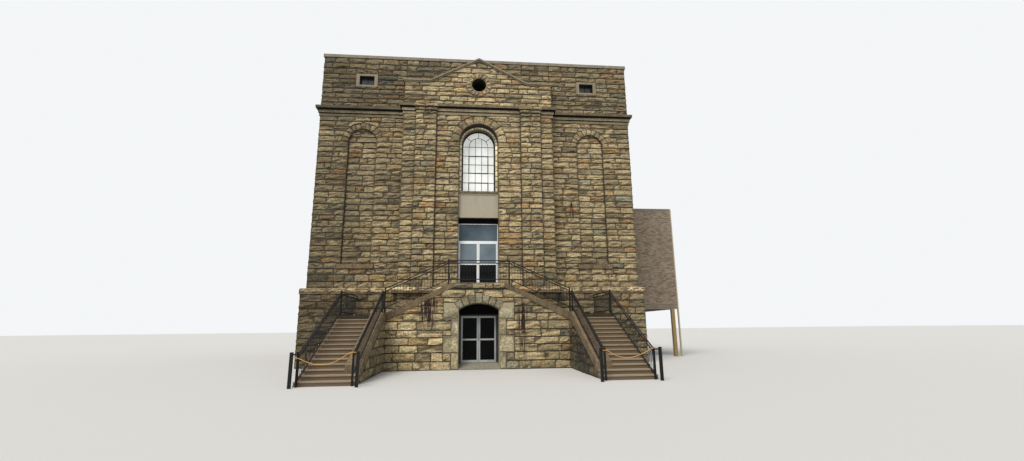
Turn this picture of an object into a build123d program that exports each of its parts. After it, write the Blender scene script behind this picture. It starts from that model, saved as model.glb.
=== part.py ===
"""Stone courthouse with a raised entrance, twin stairs and a brick annex on stilts.

Millimetres, +Z up, +X to the right of someone facing the front.
The pieces are drawn with the front wall's face at Y = 0 and moved back by half the depth when they are
written, so the model's origin is on the ground at the centre of the main block.
"""

import os
from itertools import chain
from math import asin, atan2, ceil, cos, degrees, radians, sin, sqrt, tan

from build123d import *

# Main block
HALF_WIDTH = 8490
DEPTH = 20000
WALL = 600
WALL_TOP = 16560
COPING_H = 170
COPING_LIP = 60
PLINTH_TOP = 3520
PLINTH_OUT = 200
STRING_H = 270
STRING_OUT = 250
STRING_ROUND = 70

# Cornice: courses from the lowest up, each with its top and how far it stands out
CORNICE_FOOT = 13040
CORNICE_COURSES = [(13180, 50), (13215, 25), (13400, 100), (13450, 45), (13590, 220)]

# Storeys, by the top of each floor
GROUND_TOP = 250
FIRST_TOP = 3830
SECOND_TOP = 8250
ATTIC_TOP = 13350
FLOOR_T = 210
ROOF_TOP = 16200

# Pavilion in the middle of the front, with its pilasters and low gable
PAVILION_HALF = 4000
PAVILION_OUT = 580
PILASTER_IN = 2250
PILASTER_W = 1100
PILASTER_OUT = 120
CAP_LIP = 50
CAP_TOP_LIP = 110
GABLE_KNEE = 2650
GABLE_SHOULDER = 14920
GABLE_APEX = 16310
OCULUS_Z = 14870
OCULUS_R = 390
OCULUS_RING = 310

# Moulding on the gable: courses from the lowest up, each with its thickness and how far it stands out
RAKE_COURSES = [(70, 60), (90, 110)]

# Central bay: door below, panel, arched window above
BAY_HALF = 1030
BAY_SPRING = 11530
BAY_REVEAL = 400
BAY_GLASS_BACK = 300
WINDOW_HALF = 900
WINDOW_SILL = 8830
SILL_H = 100
SILL_OUT = 90
SILL_SET_BACK = 100
PANEL_FOOT = 7410
PANEL_SET_BACK = 150
PANEL_T = 150
PANEL_BORDER = 90
PANEL_SUNK = 20
DOOR_SET_BACK = 400

# Tall blind niches on the front, and the windows of the other walls
NICHE_X = 6200
NICHE_HALF = 730
NICHE_SILL = 5030
NICHE_SPRING = 11610
NICHE_DEPTH = 110
NICHE_SILL_H = 230
NICHE_SILL_LIP = 180
LOW_WINDOW_HALF = 650
LOW_WINDOW_SILL = 4900
LOW_WINDOW_HEAD = 7160
ATTIC_X = 6150
ATTIC_HALF = 400
ATTIC_SILL = 14950
ATTIC_HEAD = 15490
ATTIC_JAMB = 180
ATTIC_LINTEL = 120
ATTIC_LEDGE = 110
ATTIC_FRAME_OUT = 30
WINDOW_REVEAL = 200
SIDE_BAYS = 4
REAR_BAYS = 3
SASH = 70
SASH_T = 80
GLASS_T = 12
GLASS_GROOVE = 10

# Podium with the ground entrance, in front of the pavilion
PODIUM_MARGIN = 135
PODIUM_HALF = PAVILION_HALF + PODIUM_MARGIN
PODIUM_FRONT = -2620
ENTRY_DEPTH = 850
ENTRY_HALF = 906
ENTRY_SPRING = 2600
ENTRY_CROWN = 2884
VOUSSOIR_H = 400
KEY_RISE = 80
VOUSSOIR_DEPTH = 400
VOUSSOIRS = 7
JOINT = 8
DRESSED_OUT = 30
QUOIN_WIDE = 1595
QUOIN_NARROW = 1235
QUOIN_TOP = 2930
QUOIN_COURSES = 4
PASSAGE_HALF = 1030
LANDING_HALF = 1285
LANDING_LIP = 50

# Stairs
MID_TOP = 2370
UPPER_RISERS = 9
LOWER_RISERS = 15
LOWER_GOING = 327
NOSING_OUT = 25
NOSING_T = 45
MID_FRONT = -3140
STAIR_OUTER = 6060
CHEEK_W = 500
FRONT_CHEEK_W = 350
CHEEK_RISE = 125
CHEEK_BAND = 370
CHEEK_OUT = 40
CHEEK_STOP_RISERS = 2
CHEEK_END = 1180

# Iron railings
POST = 60
BAR = 40
BALUSTER = 14
BALUSTER_GAP = 140
RAIL_H = 1040
RAIL_GAP = 120
RAIL_FOOT = 135
RAIL_INSET = 60
OUTER_RAIL_INSET = 120
CHEEK_RAIL_FOOT = 300
LANDING_POST_X = 1390
RAIL_AHEAD = 80
NEWEL = 90
NEWEL_H = 1100
NEWEL_AHEAD = 410
NEWEL_ASIDE_IN = 220
NEWEL_ASIDE_OUT = 90

# Ropes hung across the feet of the stairs: distance from the middle and height of each point, from inside
# the inner newel's face to inside the outer one's
ROPE_R = 11
ROPE_RIGHT = [(4000, 1010), (4140, 1012), (4240, 980), (4350, 900), (4535, 815), (4750, 763), (4985, 760),
              (5220, 810), (5445, 900), (5650, 1005), (5830, 1085), (6000, 1070)]
ROPE_LEFT = [(4000, 1070), (4140, 1078), (4250, 1060), (4365, 980), (4555, 855), (4770, 754), (5005, 705),
             (5240, 707), (5465, 760), (5670, 844), (5850, 930), (6000, 945)]

# Glazed doors
FRAME_W = 90
FRAME_HEAD_H = 60
FRAME_T = 100
HEAD_FOOT = 2340
HEAD_SET_BACK = 40
LEAF_T = 45
LEAF_STILE = 75
LEAF_RAIL = 110
LEAF_SIDE_GAP = 10
LEAF_MEET_GAP = 10
LEAF_TOP_GAP = 6
LEAF_FOOT_GAP = 8
MID_RAIL_Z = 1280
MID_RAIL_H = 75
PIVOT_R = 12
PIVOT_GAP = 0.3
PULL_OUT = 50
PULL_R = 14
PULL_L = 300
STANDOFF_R = 10
THRESHOLD = 60
RAMP_LIP = 40
RAMP_DROP = 20
UPPER_DOOR_HEAD = 7130
UPPER_TRANSOM_FOOT = 6135
UPPER_TRANSOM_H = 85
UPPER_FRAME_W = 30
UPPER_STILE = 65
UPPER_MID_RAIL = 5030
UPPER_MID_RAIL_H = 100

# Brick annex on posts, against the right wall
ANNEX_FRONT = 4000
ANNEX_LENGTH = 7300
ANNEX_SIDE = 12400
ANNEX_WALL = 300
ANNEX_FOOT = 3100
ANNEX_TOP = 9200
ANNEX_BEAM = 270
ANNEX_ROOF_T = 200
ANNEX_POST = 200
ANNEX_POST_INSET = 200
PIPE_W = 100
PIPE_D = 75
PIPE_GAP = 25
BRACKETS = 3

ORIGIN = Pos(0, -DEPTH / 2, 0)
FAR = 30000


def block(x0, x1, y0, y1, z0, z1):
    """A box between two opposite corners."""
    return Pos((x0 + x1) / 2, (y0 + y1) / 2, (z0 + z1) / 2) * Box(abs(x1 - x0), abs(y1 - y0), abs(z1 - z0))


def upright(face, y0, y1):
    """An elevation drawn in X and Z, carried from y0 back to y1."""
    return extrude(Plane.XZ.offset(-y1) * face, y1 - y0)


def sideways(face, x0, x1):
    """An elevation drawn in Y and Z, carried from x0 to x1."""
    return extrude(Plane.YZ.offset(x0) * face, x1 - x0)


def level(face, z0, z1):
    """A plan carried from z0 up to z1."""
    return extrude(Plane.XY.offset(z0) * face, z1 - z0)


def polygon(*points):
    """A closed straight-sided outline."""
    return make_face(Polyline(*points, close=True))


def rect(x0, x1, z0, z1):
    """An upright rectangle between two corners of an elevation."""
    return polygon((x0, z0), (x1, z0), (x1, z1), (x0, z1))


def arched(half, sill, spring, crown):
    """An opening with straight jambs under an arch through a crown point."""
    jambs = Polyline((half, spring), (half, sill), (-half, sill), (-half, spring))
    return make_face(jambs + ThreePointArc((-half, spring), (0, crown), (half, spring)))


def both(shape):
    """A piece and its mirror image across the middle of the front."""
    return [shape, mirror(shape, about=Plane.YZ)]


def write(name, *shapes):
    """Write one node; its solids stay separate."""
    solids = [solid for shape in shapes for solid in (ORIGIN * shape).solids()]
    whole = solids[0] if len(solids) == 1 else Compound(children=solids)
    export_step(whole, f"parts/{name}.step")


def plan(out=0.0, pavilion=True):
    """The main block's plan, grown by out on every side."""
    x, p, y = HALF_WIDTH + out, PAVILION_HALF + out, -out
    front = [(-x, y), (x, y)]
    if pavilion:
        step = -PAVILION_OUT - out
        front = [(-x, y), (-p, y), (-p, step), (p, step), (p, y), (x, y)]
    return polygon(*front, (x, DEPTH + out), (-x, DEPTH + out))


def arch_radius(half, rise):
    """Radius of the arc of a given half width and rise."""
    return (half * half + rise * rise) / (2 * rise)


# Places worked out from the sizes above
PAVILION_FACE = -PAVILION_OUT
SLAB_FOOT = CORNICE_COURSES[-2][0]
CAP_FOOT = CORNICE_COURSES[1][0]
CAP_MIDDLE = CORNICE_COURSES[2][0]
CAP_TOP = CORNICE_COURSES[-1][0]
BAY_CROWN = BAY_SPRING + BAY_HALF
WINDOW_CROWN = BAY_SPRING + WINDOW_HALF
REVEAL_FACE = PAVILION_FACE + BAY_REVEAL
REVEAL_BACK = REVEAL_FACE + BAY_GLASS_BACK + SASH_T
NICHE_CROWN = NICHE_SPRING + NICHE_HALF
STRING_TOP = PLINTH_TOP + STRING_H
LANDING_FOOT = FIRST_TOP - FLOOR_T
UPPER_RISE = (FIRST_TOP - MID_TOP) / UPPER_RISERS
UPPER_GOING = (PODIUM_HALF - LANDING_HALF) / (UPPER_RISERS - 1)
UPPER_SLOPE = UPPER_RISE / UPPER_GOING
LOWER_RISE = MID_TOP / LOWER_RISERS
LOWER_FOOT = MID_FRONT - (LOWER_RISERS - 1) * LOWER_GOING
LOWER_SLOPE = LOWER_RISE / LOWER_GOING
RAIL_END_Y = LOWER_FOOT - RAIL_AHEAD
NEWEL_Y = LOWER_FOOT - NEWEL_AHEAD
INNER_RAIL_X = PODIUM_HALF + RAIL_INSET
OUTER_RAIL_X = STAIR_OUTER - OUTER_RAIL_INSET
INNER_NEWEL_X = INNER_RAIL_X - NEWEL_ASIDE_IN
OUTER_NEWEL_X = OUTER_RAIL_X + NEWEL_ASIDE_OUT
PLINTH_FACE = -PLINTH_OUT
FRAME_BACK = PODIUM_FRONT + ENTRY_DEPTH
FRAME_FACE = FRAME_BACK - FRAME_T
CHEEK_FACE = PODIUM_FRONT - CHEEK_OUT
PODIUM_BACK = PAVILION_FACE
CHEEK_FOOT_Y = LOWER_FOOT + CHEEK_STOP_RISERS * LOWER_GOING
CHEEK_IN = PODIUM_HALF + CHEEK_W


def bay_centres(first, last, count):
    """Centres of equal bays between two ends."""
    pitch = (last - first) / count
    return [first + pitch * (i + 0.5) for i in range(count)]


def side_windows(behind_annex):
    """Places along a side wall of its tall bays, less those that the annex covers."""
    bays = bay_centres(0, DEPTH, SIDE_BAYS)
    covered = [y for y in bays if ANNEX_FRONT < y < ANNEX_FRONT + ANNEX_LENGTH]
    return [y for y in bays if not (behind_annex and y in covered)]


def window_holes(tall, attic):
    """Elevation holes for bays with their centres at the given places."""
    holes = []
    for place in tall:
        low = rect(-LOW_WINDOW_HALF, LOW_WINDOW_HALF, LOW_WINDOW_SILL, LOW_WINDOW_HEAD)
        holes.append(Pos(place, 0) * low)
        holes.append(Pos(place, 0) * arched(WINDOW_HALF, WINDOW_SILL, BAY_SPRING, WINDOW_CROWN))
    for place in attic:
        holes.append(Pos(place, 0) * rect(-ATTIC_HALF, ATTIC_HALF, ATTIC_SILL, ATTIC_HEAD))
    return holes


def front_wall():
    """Front wall beside the pavilion, with its blind niche and attic window."""
    face = rect(PAVILION_HALF, HALF_WIDTH, 0, WALL_TOP)
    wall = upright(face, 0, WALL)
    wall += block(PAVILION_HALF, HALF_WIDTH + PLINTH_OUT, PLINTH_FACE, WALL, 0, PLINTH_TOP)
    niche = arched(NICHE_HALF, NICHE_SILL, NICHE_SPRING, NICHE_CROWN)
    wall -= upright(Pos(NICHE_X, 0) * niche, 0, NICHE_DEPTH)
    wall -= upright(Pos(ATTIC_X, 0) * rect(-ATTIC_HALF, ATTIC_HALF, ATTIC_SILL, ATTIC_HEAD), 0, WALL)
    right, left = both(wall)
    write("front_wall_right", right)
    write("front_wall_left", left)


def side_wall(name, sign, behind_annex):
    """A side wall with its plinth and three storeys of windows."""
    face = rect(WALL, DEPTH - WALL, 0, WALL_TOP)
    for hole in window_holes(side_windows(behind_annex), bay_centres(0, DEPTH, SIDE_BAYS)):
        face -= hole
    wall = sideways(face, HALF_WIDTH - WALL, HALF_WIDTH)
    wall += block(HALF_WIDTH, HALF_WIDTH + PLINTH_OUT, WALL, DEPTH - WALL, 0, PLINTH_TOP)
    write(name, wall if sign > 0 else mirror(wall, about=Plane.YZ))


def rear_wall():
    """The rear wall, plain like the sides."""
    face = rect(-HALF_WIDTH, HALF_WIDTH, 0, WALL_TOP)
    rear_bays = bay_centres(-HALF_WIDTH, HALF_WIDTH, REAR_BAYS)
    for hole in window_holes(rear_bays, rear_bays):
        face -= hole
    wall = upright(face, DEPTH - WALL, DEPTH)
    outer = HALF_WIDTH + PLINTH_OUT
    wall += block(-outer, outer, DEPTH - WALL, DEPTH + PLINTH_OUT, 0, PLINTH_TOP)
    write("rear_wall", wall)


def pavilion():
    """The pavilion: a pier each side of the bay, the arch over it, and the gable."""
    pier = block(BAY_HALF, PAVILION_HALF, PAVILION_FACE, WALL, 0, BAY_SPRING)
    write("pavilion_piers", *both(pier))
    spandrel = rect(-PAVILION_HALF, PAVILION_HALF, BAY_SPRING, SLAB_FOOT)
    spandrel -= arched(BAY_HALF, BAY_SPRING - BAY_HALF, BAY_SPRING, BAY_CROWN)
    write("pavilion_arch", upright(spandrel, PAVILION_FACE, WALL))
    gable_face = polygon(*gable_line(0), (PAVILION_HALF, SLAB_FOOT), (-PAVILION_HALF, SLAB_FOOT))
    gable = upright(gable_face, PAVILION_FACE, 0)
    gable += block(-PAVILION_HALF, PAVILION_HALF, 0, WALL, SLAB_FOOT, WALL_TOP)
    gable -= upright(Pos(0, OCULUS_Z) * Circle(OCULUS_R), PAVILION_FACE, WALL)
    write("pavilion_gable", gable)
    foot = 0
    moulding = None
    for thick, out in RAKE_COURSES:
        face = polygon(*gable_line(foot, out), *reversed(gable_line(foot + thick, out)))
        course = upright(face, PAVILION_FACE - out, 0)
        moulding = course if moulding is None else moulding + course
        foot += thick
    write("gable_moulding", moulding)


def gable_line(rise, out=0):
    """The gable's broken line from left to right, raised, with its ends carried out."""
    end = PAVILION_HALF + out
    return [
        (-end, GABLE_SHOULDER + rise),
        (-GABLE_KNEE, GABLE_SHOULDER + rise),
        (0, GABLE_APEX + rise),
        (GABLE_KNEE, GABLE_SHOULDER + rise),
        (end, GABLE_SHOULDER + rise),
    ]


def pilaster():
    """A flat pilaster right of the bay, with a stepped cap as high as the cornice slab."""
    x1 = PILASTER_IN + PILASTER_W
    face = PAVILION_FACE - PILASTER_OUT
    shaft = block(PILASTER_IN, x1, face, PAVILION_FACE, STRING_TOP, CAP_FOOT)
    for foot, top, lip in ((CAP_FOOT, CAP_MIDDLE, CAP_LIP), (CAP_MIDDLE, CAP_TOP, CAP_TOP_LIP)):
        shaft += block(PILASTER_IN - lip, x1 + lip, face - lip, PAVILION_FACE, foot, top)
    return shaft


def cornice():
    """Stacked courses round the whole block and its pavilion, stopped against the pilasters."""
    whole = None
    foot = CORNICE_FOOT
    for top, out in CORNICE_COURSES:
        course = level(plan(out) - plan(), foot, top)
        whole = course if whole is None else whole + course
        foot = top
    shafts = both(pilaster())
    for shaft in shafts:
        whole -= shaft
    write("cornice", whole)
    write("pilasters", *shafts)


def string_course():
    """The rounded string over the plinth, left out where the top steps and the landing meet the wall."""
    ring = level(plan(STRING_OUT) - plan(), PLINTH_TOP, STRING_TOP)
    outer = ring.faces().filter_by(GeomType.PLANE).edges().group_by(Axis.Z)[-1]
    rim = [e for e in outer if on_outer_line(e)]
    ring = fillet(rim, STRING_ROUND)
    stop = LANDING_HALF + UPPER_GOING
    ring -= block(-stop, stop, -FAR, 0, PLINTH_TOP, STRING_TOP)
    write("string_course", ring)


def on_outer_line(edge):
    """Whether an edge of the string lies on its outer outline."""
    c = edge.center()
    x, y = abs(c.X), c.Y
    inside_wide = x < HALF_WIDTH + 1 and -1 < y < DEPTH + 1
    inside_pavilion = x < PAVILION_HALF + 1 and y > PAVILION_FACE - 1 and y < DEPTH + 1
    return not (inside_wide or inside_pavilion)


def coping():
    """The flat coping on the parapet, all round the main block."""
    inner = offset(plan(0, False), -WALL - COPING_LIP, kind=Kind.INTERSECTION)
    write("coping", level(plan(COPING_LIP, False) - inner, WALL_TOP, WALL_TOP + COPING_H))


def sills():
    """Stone sills under the niches, under every tall window and in the central bay."""
    shelf = block(-WINDOW_HALF - NICHE_SILL_LIP, WINDOW_HALF + NICHE_SILL_LIP, -SILL_OUT, 0,
                  WINDOW_SILL - SILL_H, WINDOW_SILL)
    low = block(-LOW_WINDOW_HALF - NICHE_SILL_LIP, LOW_WINDOW_HALF + NICHE_SILL_LIP, -SILL_OUT, 0,
                LOW_WINDOW_SILL - NICHE_SILL_H, LOW_WINDOW_SILL)
    niche = block(-NICHE_HALF - NICHE_SILL_LIP, NICHE_HALF + NICHE_SILL_LIP, -SILL_OUT, 0,
                  NICHE_SILL - NICHE_SILL_H, NICHE_SILL)
    placed = [place * piece for place in tall_places() for piece in (shelf, low)]
    sill_face = PAVILION_FACE + SILL_SET_BACK
    bay = block(-BAY_HALF, BAY_HALF, sill_face, REVEAL_BACK, WINDOW_SILL - SILL_H, WINDOW_SILL)
    write("stone_sills", bay, *both(Pos(NICHE_X, 0, 0) * niche), *placed)


def tall_places():
    """Where each unseen tall bay's outer wall face is, as a turned frame."""
    right = [Pos(HALF_WIDTH, y, 0) * Rot(0, 0, 90) for y in side_windows(True)]
    left = [Pos(-HALF_WIDTH, y, 0) * Rot(0, 0, -90) for y in side_windows(False)]
    rear = [Pos(x, DEPTH, 0) * Rot(0, 0, 180) for x in bay_centres(-HALF_WIDTH, HALF_WIDTH, REAR_BAYS)]
    return right + left + rear


def attic_places():
    """Where each attic window's outer wall face is, as a turned frame."""
    front = [Pos(x, 0, 0) for x in (-ATTIC_X, ATTIC_X)]
    bays = bay_centres(0, DEPTH, SIDE_BAYS)
    right = [Pos(HALF_WIDTH, y, 0) * Rot(0, 0, 90) for y in bays]
    left = [Pos(-HALF_WIDTH, y, 0) * Rot(0, 0, -90) for y in bays]
    rear = [Pos(x, DEPTH, 0) * Rot(0, 0, 180) for x in bay_centres(-HALF_WIDTH, HALF_WIDTH, REAR_BAYS)]
    return front + right + left + rear


def sash_and_glass(outline, inner, set_back):
    """A sash ring between two outlines, and the pane held in its groove."""
    ring = upright(outline - inner, set_back, set_back + SASH_T)
    middle = set_back + (SASH_T - GLASS_T) / 2
    pane_face = offset(inner, GLASS_GROOVE, kind=Kind.INTERSECTION)
    pane = upright(pane_face, middle, middle + GLASS_T)
    return ring - pane, pane


def windows():
    """Sashes and panes of the arched, first-storey and attic windows."""
    inner_half = WINDOW_HALF - SASH
    tall = sash_and_glass(
        arched(WINDOW_HALF, WINDOW_SILL, BAY_SPRING, WINDOW_CROWN),
        arched(inner_half, WINDOW_SILL + SASH, BAY_SPRING, BAY_SPRING + inner_half),
        WINDOW_REVEAL,
    )
    low = sash_and_glass(
        rect(-LOW_WINDOW_HALF, LOW_WINDOW_HALF, LOW_WINDOW_SILL, LOW_WINDOW_HEAD),
        rect(-LOW_WINDOW_HALF + SASH, LOW_WINDOW_HALF - SASH, LOW_WINDOW_SILL + SASH, LOW_WINDOW_HEAD - SASH),
        WINDOW_REVEAL,
    )
    attic = sash_and_glass(
        rect(-ATTIC_HALF, ATTIC_HALF, ATTIC_SILL, ATTIC_HEAD),
        rect(-ATTIC_HALF + SASH, ATTIC_HALF - SASH, ATTIC_SILL + SASH, ATTIC_HEAD - SASH),
        WINDOW_REVEAL,
    )
    front_bay = Pos(0, REVEAL_FACE + BAY_GLASS_BACK - WINDOW_REVEAL, 0)
    places = [(front_bay, tall)] + [(p, kind) for p in tall_places() for kind in (tall, low)]
    places += [(p, attic) for p in attic_places()]
    write("window_frames", *[place * kind[0] for place, kind in places])
    write("window_glass", *[place * kind[1] for place, kind in places])
    jamb = ATTIC_HALF + ATTIC_JAMB
    edge = rect(-jamb, jamb, ATTIC_SILL - ATTIC_LEDGE, ATTIC_HEAD + ATTIC_LINTEL)
    edge -= rect(-ATTIC_HALF, ATTIC_HALF, ATTIC_SILL, ATTIC_HEAD)
    surround = upright(edge, -ATTIC_FRAME_OUT, 0)
    ring = upright(Pos(0, OCULUS_Z) * (Circle(OCULUS_R + OCULUS_RING) - Circle(OCULUS_R)),
                   PAVILION_FACE - ATTIC_FRAME_OUT, PAVILION_FACE)
    write("attic_surrounds", ring, *[p * surround for p in attic_places()])


def oculus():
    """The barred vent in the round opening."""
    vent = upright(Pos(0, OCULUS_Z) * (Circle(OCULUS_R) - Circle(OCULUS_R - BAR)), 0, BAR)
    for dx in (-OCULUS_R / 3, OCULUS_R / 3):
        half = sqrt(OCULUS_R**2 - dx**2)
        end = half - BALUSTER
        vent += block(dx - BALUSTER / 2, dx + BALUSTER / 2, 0, BAR, OCULUS_Z - end, OCULUS_Z + end)
        vent += block(-end, end, 0, BAR, OCULUS_Z + dx - BALUSTER / 2, OCULUS_Z + dx + BALUSTER / 2)
    write("oculus_vent", vent)


def central_bay():
    """The inner reveal round the arched window, and the panel under its sill."""
    outline = arched(BAY_HALF, WINDOW_SILL, BAY_SPRING, BAY_CROWN)
    inner = arched(WINDOW_HALF, WINDOW_SILL, BAY_SPRING, WINDOW_CROWN)
    write("bay_reveal", upright(outline - inner, REVEAL_FACE, REVEAL_BACK))
    panel_top = WINDOW_SILL - SILL_H
    face = PAVILION_FACE + PANEL_SET_BACK
    panel = block(-BAY_HALF, BAY_HALF, face, face + PANEL_T, PANEL_FOOT, panel_top)
    edge = BAY_HALF - PANEL_BORDER
    panel -= block(-edge, edge, face, face + PANEL_SUNK, PANEL_FOOT + PANEL_BORDER, panel_top - PANEL_BORDER)
    panel += block(-BAY_HALF, BAY_HALF, face + PANEL_T, WALL, PANEL_FOOT, PANEL_FOOT + FLOOR_T)
    write("bay_panel", panel)


def upper_door():
    """Frame, fixed pair of leaves, transom light and dark head board at the stair head."""
    y0 = PAVILION_FACE + DOOR_SET_BACK
    y1 = y0 + FRAME_T
    w = UPPER_FRAME_W
    outer = rect(-BAY_HALF, BAY_HALF, FIRST_TOP, UPPER_DOOR_HEAD)
    light = rect(-BAY_HALF + w, BAY_HALF - w, UPPER_TRANSOM_FOOT + UPPER_TRANSOM_H, UPPER_DOOR_HEAD - w)
    door_hole = rect(-BAY_HALF + w, BAY_HALF - w, FIRST_TOP, UPPER_TRANSOM_FOOT)
    middle = y0 + (FRAME_T - GLASS_T) / 2
    pane = upright(offset(light, GLASS_GROOVE, kind=Kind.INTERSECTION), middle, middle + GLASS_T)
    write("upper_door_frame", upright(outer - light - door_hole, y0, y1) - pane)
    write("upper_door_head", block(-BAY_HALF, BAY_HALF, y0, y1, UPPER_DOOR_HEAD, PANEL_FOOT))
    x1 = BAY_HALF - w - LEAF_SIDE_GAP
    leaf, glass = glazed_leaf(0, x1 - LEAF_MEET_GAP / 2, FIRST_TOP, UPPER_TRANSOM_FOOT, UPPER_MID_RAIL,
                              UPPER_STILE, UPPER_MID_RAIL_H)
    place = Pos(LEAF_MEET_GAP / 2, y0, 0)
    write("upper_door_leaves", *both(place * leaf))
    write("upper_door_glass", pane, *both(place * glass))


def glazed_leaf(x0, x1, foot, head, mid, stile, mid_h):
    """A leaf of stiles and rails from its meeting edge at x0 to its hinge edge at x1, with a pane over its
    middle rail and another under it."""
    panes = rect(x0 + stile, x1 - stile, foot + LEAF_RAIL, mid - mid_h / 2)
    panes += rect(x0 + stile, x1 - stile, mid + mid_h / 2, head - stile)
    body = upright(rect(x0, x1, foot, head) - panes, 0, LEAF_T)
    y0 = (LEAF_T - GLASS_T) / 2
    grooves = [offset(face, GLASS_GROOVE, kind=Kind.INTERSECTION) for face in panes.faces()]
    glass = [upright(groove, y0, y0 + GLASS_T) for groove in grooves]
    for pane in glass:
        body -= pane
    return body, Compound(children=glass)


def ground_door():
    """Frame with a dark arched board over it, and a pair of leaves that swing out."""
    outline = arched(ENTRY_HALF, GROUND_TOP, ENTRY_SPRING, ENTRY_CROWN)
    clear = ENTRY_HALF - FRAME_W
    hole = rect(-clear, clear, GROUND_TOP, HEAD_FOOT)
    over = rect(-ENTRY_HALF, ENTRY_HALF, HEAD_FOOT + FRAME_HEAD_H, ENTRY_CROWN)
    write("ground_door_frame", upright(outline - hole - over, FRAME_FACE, FRAME_BACK))
    write("ground_door_head", upright(outline & over, FRAME_FACE + HEAD_SET_BACK, FRAME_BACK))
    hinge_x = clear - LEAF_SIDE_GAP
    foot = GROUND_TOP + LEAF_FOOT_GAP
    head = HEAD_FOOT - LEAF_TOP_GAP
    leaf, glass = glazed_leaf(LEAF_MEET_GAP / 2, hinge_x, foot, head, MID_RAIL_Z, LEAF_STILE, MID_RAIL_H)
    pin = Cylinder(PIVOT_R, LEAF_FOOT_GAP - PIVOT_GAP, align=(Align.CENTER, Align.CENTER, Align.MAX))
    top_pin = Cylinder(PIVOT_R, LEAF_TOP_GAP - PIVOT_GAP, align=(Align.CENTER, Align.CENTER, Align.MIN))
    leaf += Pos(hinge_x - PIVOT_R, PIVOT_R, foot) * pin
    leaf += Pos(hinge_x - PIVOT_R, PIVOT_R, head) * top_pin
    leaf += pull_handle(LEAF_MEET_GAP / 2 + LEAF_STILE / 2)
    place = Pos(0, FRAME_FACE, 0)
    right, left = both(place * leaf)
    write("ground_door_right", right)
    write("ground_door_left", left)
    right, left = both(place * glass)
    write("ground_door_right_glass", right)
    write("ground_door_left_glass", left)


def pull_handle(x):
    """A round bar pull on two standoffs, on a leaf's outer face."""
    z0, z1 = MID_RAIL_Z, MID_RAIL_Z + PULL_L
    from_foot = (Align.CENTER, Align.CENTER, Align.MIN)
    bar = Pos(x, -PULL_OUT + PULL_R, z0) * Cylinder(PULL_R, PULL_L, align=from_foot)
    for z in (z0 + 2 * PULL_R, z1 - 2 * PULL_R):
        bar += Pos(x, 0, z) * Rot(90, 0, 0) * Cylinder(STANDOFF_R, PULL_OUT - PULL_R, align=from_foot)
    return bar


def entrance():
    """The podium's arched entrance: backing wall, voussoirs, quoins and ramp."""
    wall = rect(-QUOIN_WIDE, QUOIN_WIDE, 0, LANDING_FOOT)
    wall -= arched(ENTRY_HALF, 0, ENTRY_SPRING, ENTRY_CROWN)
    backing = upright(wall, PODIUM_FRONT, FRAME_BACK)
    for piece in voussoirs_seat() + quoin_seats() + both(upper_band()) + upper_stair_space():
        backing -= piece
    write("entrance_wall", backing)
    write("entrance_voussoirs", *voussoir_ring())
    write("entrance_quoins", *quoins())


def ring_geometry():
    """Centre height, inner and outer radius and half angle of the entrance arch."""
    inner = arch_radius(ENTRY_HALF, ENTRY_CROWN - ENTRY_SPRING)
    centre = ENTRY_CROWN - inner
    half_angle = degrees(asin(ENTRY_HALF / inner))
    return centre, inner, inner + VOUSSOIR_H, half_angle


def sector(centre, inner, outer, a0, a1):
    """A ring sector in the elevation, by angles from the vertical."""
    def at(radius, angle):
        return (radius * sin(radians(angle)), centre + radius * cos(radians(angle)))
    mid = (a0 + a1) / 2
    line = (
        ThreePointArc(at(inner, a0), at(inner, mid), at(inner, a1))
        + Line(at(inner, a1), at(outer, a1))
        + ThreePointArc(at(outer, a1), at(outer, mid), at(outer, a0))
        + Line(at(outer, a0), at(inner, a0))
    )
    return make_face(line)


def voussoir_ring():
    """Wedge stones with open joints and a taller key stone, set into the wall and standing a little proud."""
    centre, inner, outer, half = ring_geometry()
    pitch = 2 * half / VOUSSOIRS
    joint = degrees(JOINT / outer) / 2
    stones = []
    for i in range(VOUSSOIRS):
        a0 = -half + i * pitch
        top = outer + KEY_RISE if i == VOUSSOIRS // 2 else outer
        face = sector(centre, inner, top, a0 + joint, a0 + pitch - joint)
        stones.append(upright(face, PODIUM_FRONT - DRESSED_OUT, PODIUM_FRONT + VOUSSOIR_DEPTH))
    return stones


def voussoirs_seat():
    """The space that the voussoirs fill in the wall."""
    centre, inner, outer, half = ring_geometry()
    key = half / VOUSSOIRS - degrees(JOINT / outer) / 2
    seat = sector(centre, inner, outer, -half, half) + sector(centre, inner, outer + KEY_RISE, -key, key)
    return [upright(seat, PODIUM_FRONT, PODIUM_FRONT + VOUSSOIR_DEPTH)]


def quoin_faces(joint):
    """Elevations of the right-hand quoins from the ground up, with the top one cut to the springing line."""
    centre, inner, outer, half = ring_geometry()
    foot = 0
    faces = []
    for i in range(QUOIN_COURSES):
        top = QUOIN_TOP * (i + 1) / QUOIN_COURSES
        wide = QUOIN_NARROW if i % 2 == 0 else QUOIN_WIDE
        face = rect(ENTRY_HALF, wide - joint, foot, top - joint)
        if i == QUOIN_COURSES - 1:
            foot_x, foot_z = ENTRY_HALF, ENTRY_SPRING
            end_x = outer * sin(radians(half))
            end_z = centre + outer * cos(radians(half))
            over = end_z + VOUSSOIR_H
            face -= polygon((foot_x - 1, foot_z), (foot_x, foot_z), (end_x, end_z), (end_x, over),
                            (foot_x - 1, over))
        faces.append(face)
        foot = top
    return faces


def quoins():
    """Both stacks of light dressed quoins."""
    y0, y1 = PODIUM_FRONT - DRESSED_OUT, PODIUM_FRONT + VOUSSOIR_DEPTH
    return [q for face in quoin_faces(JOINT) for q in both(upright(face, y0, y1))]


def quoin_seats():
    """The spaces that the quoins fill in the wall."""
    y1 = PODIUM_FRONT + VOUSSOIR_DEPTH
    return [q for face in quoin_faces(0) for q in both(upright(face, PODIUM_FRONT, y1))]


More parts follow.
